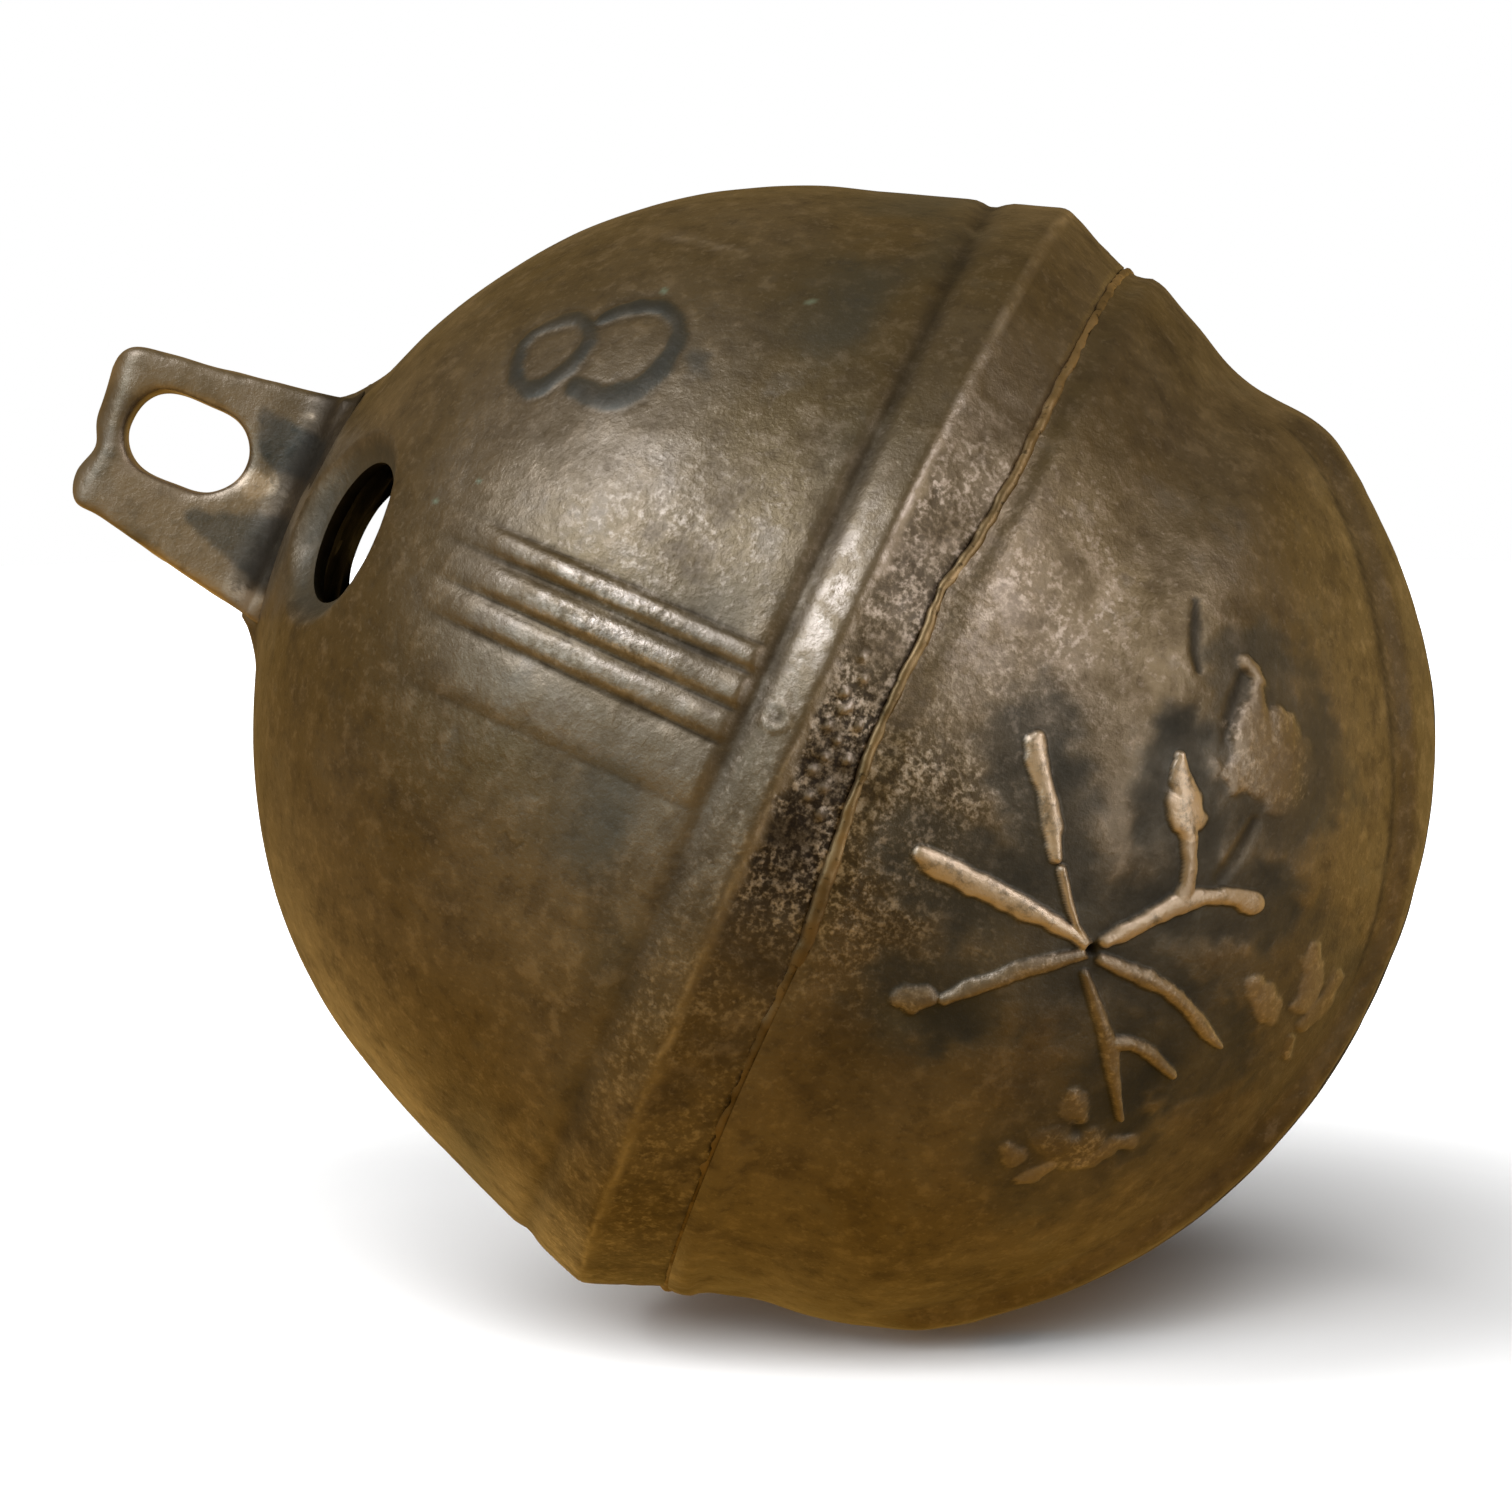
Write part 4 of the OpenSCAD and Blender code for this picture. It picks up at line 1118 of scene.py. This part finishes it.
points[:, 2] += faded * (FADED_WIDER * (points[:, 2] - level) - FADED_CALMER * (level - BEAD_Z))
sunk = END_IN * smooth((np.abs(points[:, 0]) - END_FROM) / END_RUN)
sunk += CLOSED_IN * closed(points) - FADED_OUT * faded
points[:, :2] *= (1 - sunk / BEAD_RING)[:, None]
points[:, 2] += seam_sway(points)
leave(bead, points, braze, grime=0.6 * faded)

# %% [markdown]
# ## The rattle ball
# A small iron ball lies loose in the hollow. It is a sphere, so Geometry Nodes make one and roughen it like
# a forging that has rusted.

# %% Iron material and ball
IRON_SKIN, IRON_DULL, IRON_METAL = "#4b4038", 0.68, 0.35
IRON_CLOUDS = {"broad": (80, 3.0), "fine": (83, 0.6)}  # seed, mm across
IRON_NOISE = {"Detail": 5.0, "Roughness": 0.62}
IRON_COATS = [("broad", 0.42, 0.62, "#7a4d2c")]
IRON_PITS = (0.6, 0.15)
BALL_R, BALL_LUMP, BALL_DENT = 7.9, 3.5, 0.35

# Rusted cast iron: near black, with brown bloom.
iron = rough_metal("rusted_cast_iron", IRON_SKIN, IRON_CLOUDS, IRON_NOISE, IRON_COATS, IRON_PITS, IRON_DULL,
                   IRON_METAL)
ball_low, ball_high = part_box("rattle_ball")
ball_mid = (ball_low + ball_high) / 2
group, given, ids = new_group("iron_ball", ["Radius", "Height", "Lump Size", "Lump Height"])
sphere = add_node(group, "GeometryNodeMeshIcoSphere", {"Radius": given["Radius"], "Subdivisions": 6})
spot = add_node(group, "GeometryNodeInputPosition")
tight = add_node(group, "ShaderNodeMath", {0: 1.0, 1: given["Lump Size"]}, operation="DIVIDE")
rough = add_node(group, "ShaderNodeTexNoise", {"Vector": spot, "W": 9.0, "Scale": tight, "Detail": 4.0},
                 noise_dimensions="4D")
depth = add_node(group, "ShaderNodeMath", {0: rough, 1: given["Lump Height"]}, operation="MULTIPLY")
normal = add_node(group, "GeometryNodeInputNormal")
push = add_node(group, "ShaderNodeVectorMath", {0: normal, "Scale": depth}, operation="SCALE")
dented = add_node(group, "GeometryNodeSetPosition", {"Geometry": sphere, "Offset": push})
finish_group(group, dented, given["Height"], iron)
ball = grow("iron_ball", group, ids, {"Radius": BALL_R * MM, "Height": ball_mid.z, "Lump Size": BALL_LUMP * MM,
                                      "Lump Height": -BALL_DENT * MM})

# %% [markdown]
# ## The table
# The bell lies on a pale table. Its board touches the bell's lowest point as the camera sees it. From behind
# the board lets light and sight through, so that it hides nothing in the other views.

# %% Table
TABLE_R = 300
TABLE_TILT = math.radians(10)  # the camera looks down on the table by this angle
TABLE_LAMPS = [  # rows as for LAMPS; they light the table alone, so the shadow can be set by itself
    ("table_light", (-0.45, 0.86, 0.24), 560, 3.1, "#ffffff"),
    ("table_front_light", (0.05, 0.42, 0.90), 400, 5.6, "#ffffff"),
    ("table_side_light", (-0.70, 0.32, 0.64), 400, 3.2, "#ffffff"),
]
TABLE_COLOUR, TABLE_GLOW = "#f0f0f0", 0.02
FADE_FROM, FADE_TO = 50, 115  # mm from the bell's foot; from here to there the table is lost in white
table_up = upward * math.cos(TABLE_TILT) + toward * math.sin(TABLE_TILT)
shown = [crown, bowl, lug, bead]
lowest = min((read_points(o.data) @ np.array(table_up)).min() for o in shown) / MM
foot = centre + table_up * (lowest - centre.dot(table_up))
board = bmesh.new()
bmesh.ops.create_circle(board, cap_ends=True, segments=128, radius=TABLE_R * MM)
side_way = table_up.cross(toward).normalized()
board.transform(Matrix.Translation(foot * MM)
                @ Matrix((side_way, table_up.cross(side_way), table_up)).transposed().to_4x4())
mesh = bpy.data.meshes.new("table")
board.to_mesh(mesh)
board.free()
table = add_object("table", mesh)
white, tree = new_finish("white_table")
matt = add_node(tree, "ShaderNodeBsdfDiffuse", {"Color": linear(TABLE_COLOUR)})
spot = add_node(tree, "ShaderNodeTexCoord", out="Object")
reach = add_node(tree, "ShaderNodeVectorMath", {0: spot, 1: foot * MM}, "Value", operation="DISTANCE")
lost = add_node(tree, "ShaderNodeMapRange", {"Value": reach, "From Min": FADE_FROM * MM,
                                             "From Max": FADE_TO * MM, "To Min": TABLE_GLOW, "To Max": 1.0},
                interpolation_type="SMOOTHSTEP")
glow = add_node(tree, "ShaderNodeEmission", {"Color": linear("#ffffff"), "Strength": lost})
lit = add_node(tree, "ShaderNodeAddShader", {0: matt, 1: glow})
gone = add_node(tree, "ShaderNodeBsdfTransparent")
behind = add_node(tree, "ShaderNodeNewGeometry", out="Backfacing")
sided = add_node(tree, "ShaderNodeMixShader", {0: behind, 1: lit, 2: gone})
add_node(tree, "ShaderNodeOutputMaterial", {"Surface": sided})
mesh.materials.append(white)
table.visible_glossy = False
table.visible_diffuse = False
table.visible_shadow = False

table_lamps = [add_lamp(*row, foot) for row in TABLE_LAMPS]
only_table, not_table = [bpy.data.collections.new(name) for name in ("only_the_table", "all_but_the_table")]
for lit_group, state, lamps in ((only_table, "INCLUDE", table_lamps), (not_table, "EXCLUDE", bell_lamps)):
    lit_group.objects.link(table)
    lit_group.collection_objects[0].light_linking.link_state = state
    for held in lamps:
        held.light_linking.receiver_collection = lit_group
print("the table touches the bell", round(lowest, 1), "mm along its own upright")

# %% [markdown]
# ## Riding and the end
# Each piece rides on its CAD body and stands for its CAD solid, which is hidden.

# %% Tie the pieces to the part
for piece, body, node, slot in ((crown, "shell", "crown_half", "cast_bronze"),
                                (bowl, "shell", "bowl_half", "cast_bronze"),
                                (lug, "shell", "hanging_lug", "cast_bronze"),
                                (bead, "shell", "seam_braze", "braze"),
                                (ball, "rattle", "rattle_ball", "iron")):
    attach(piece, body)
    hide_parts(node)
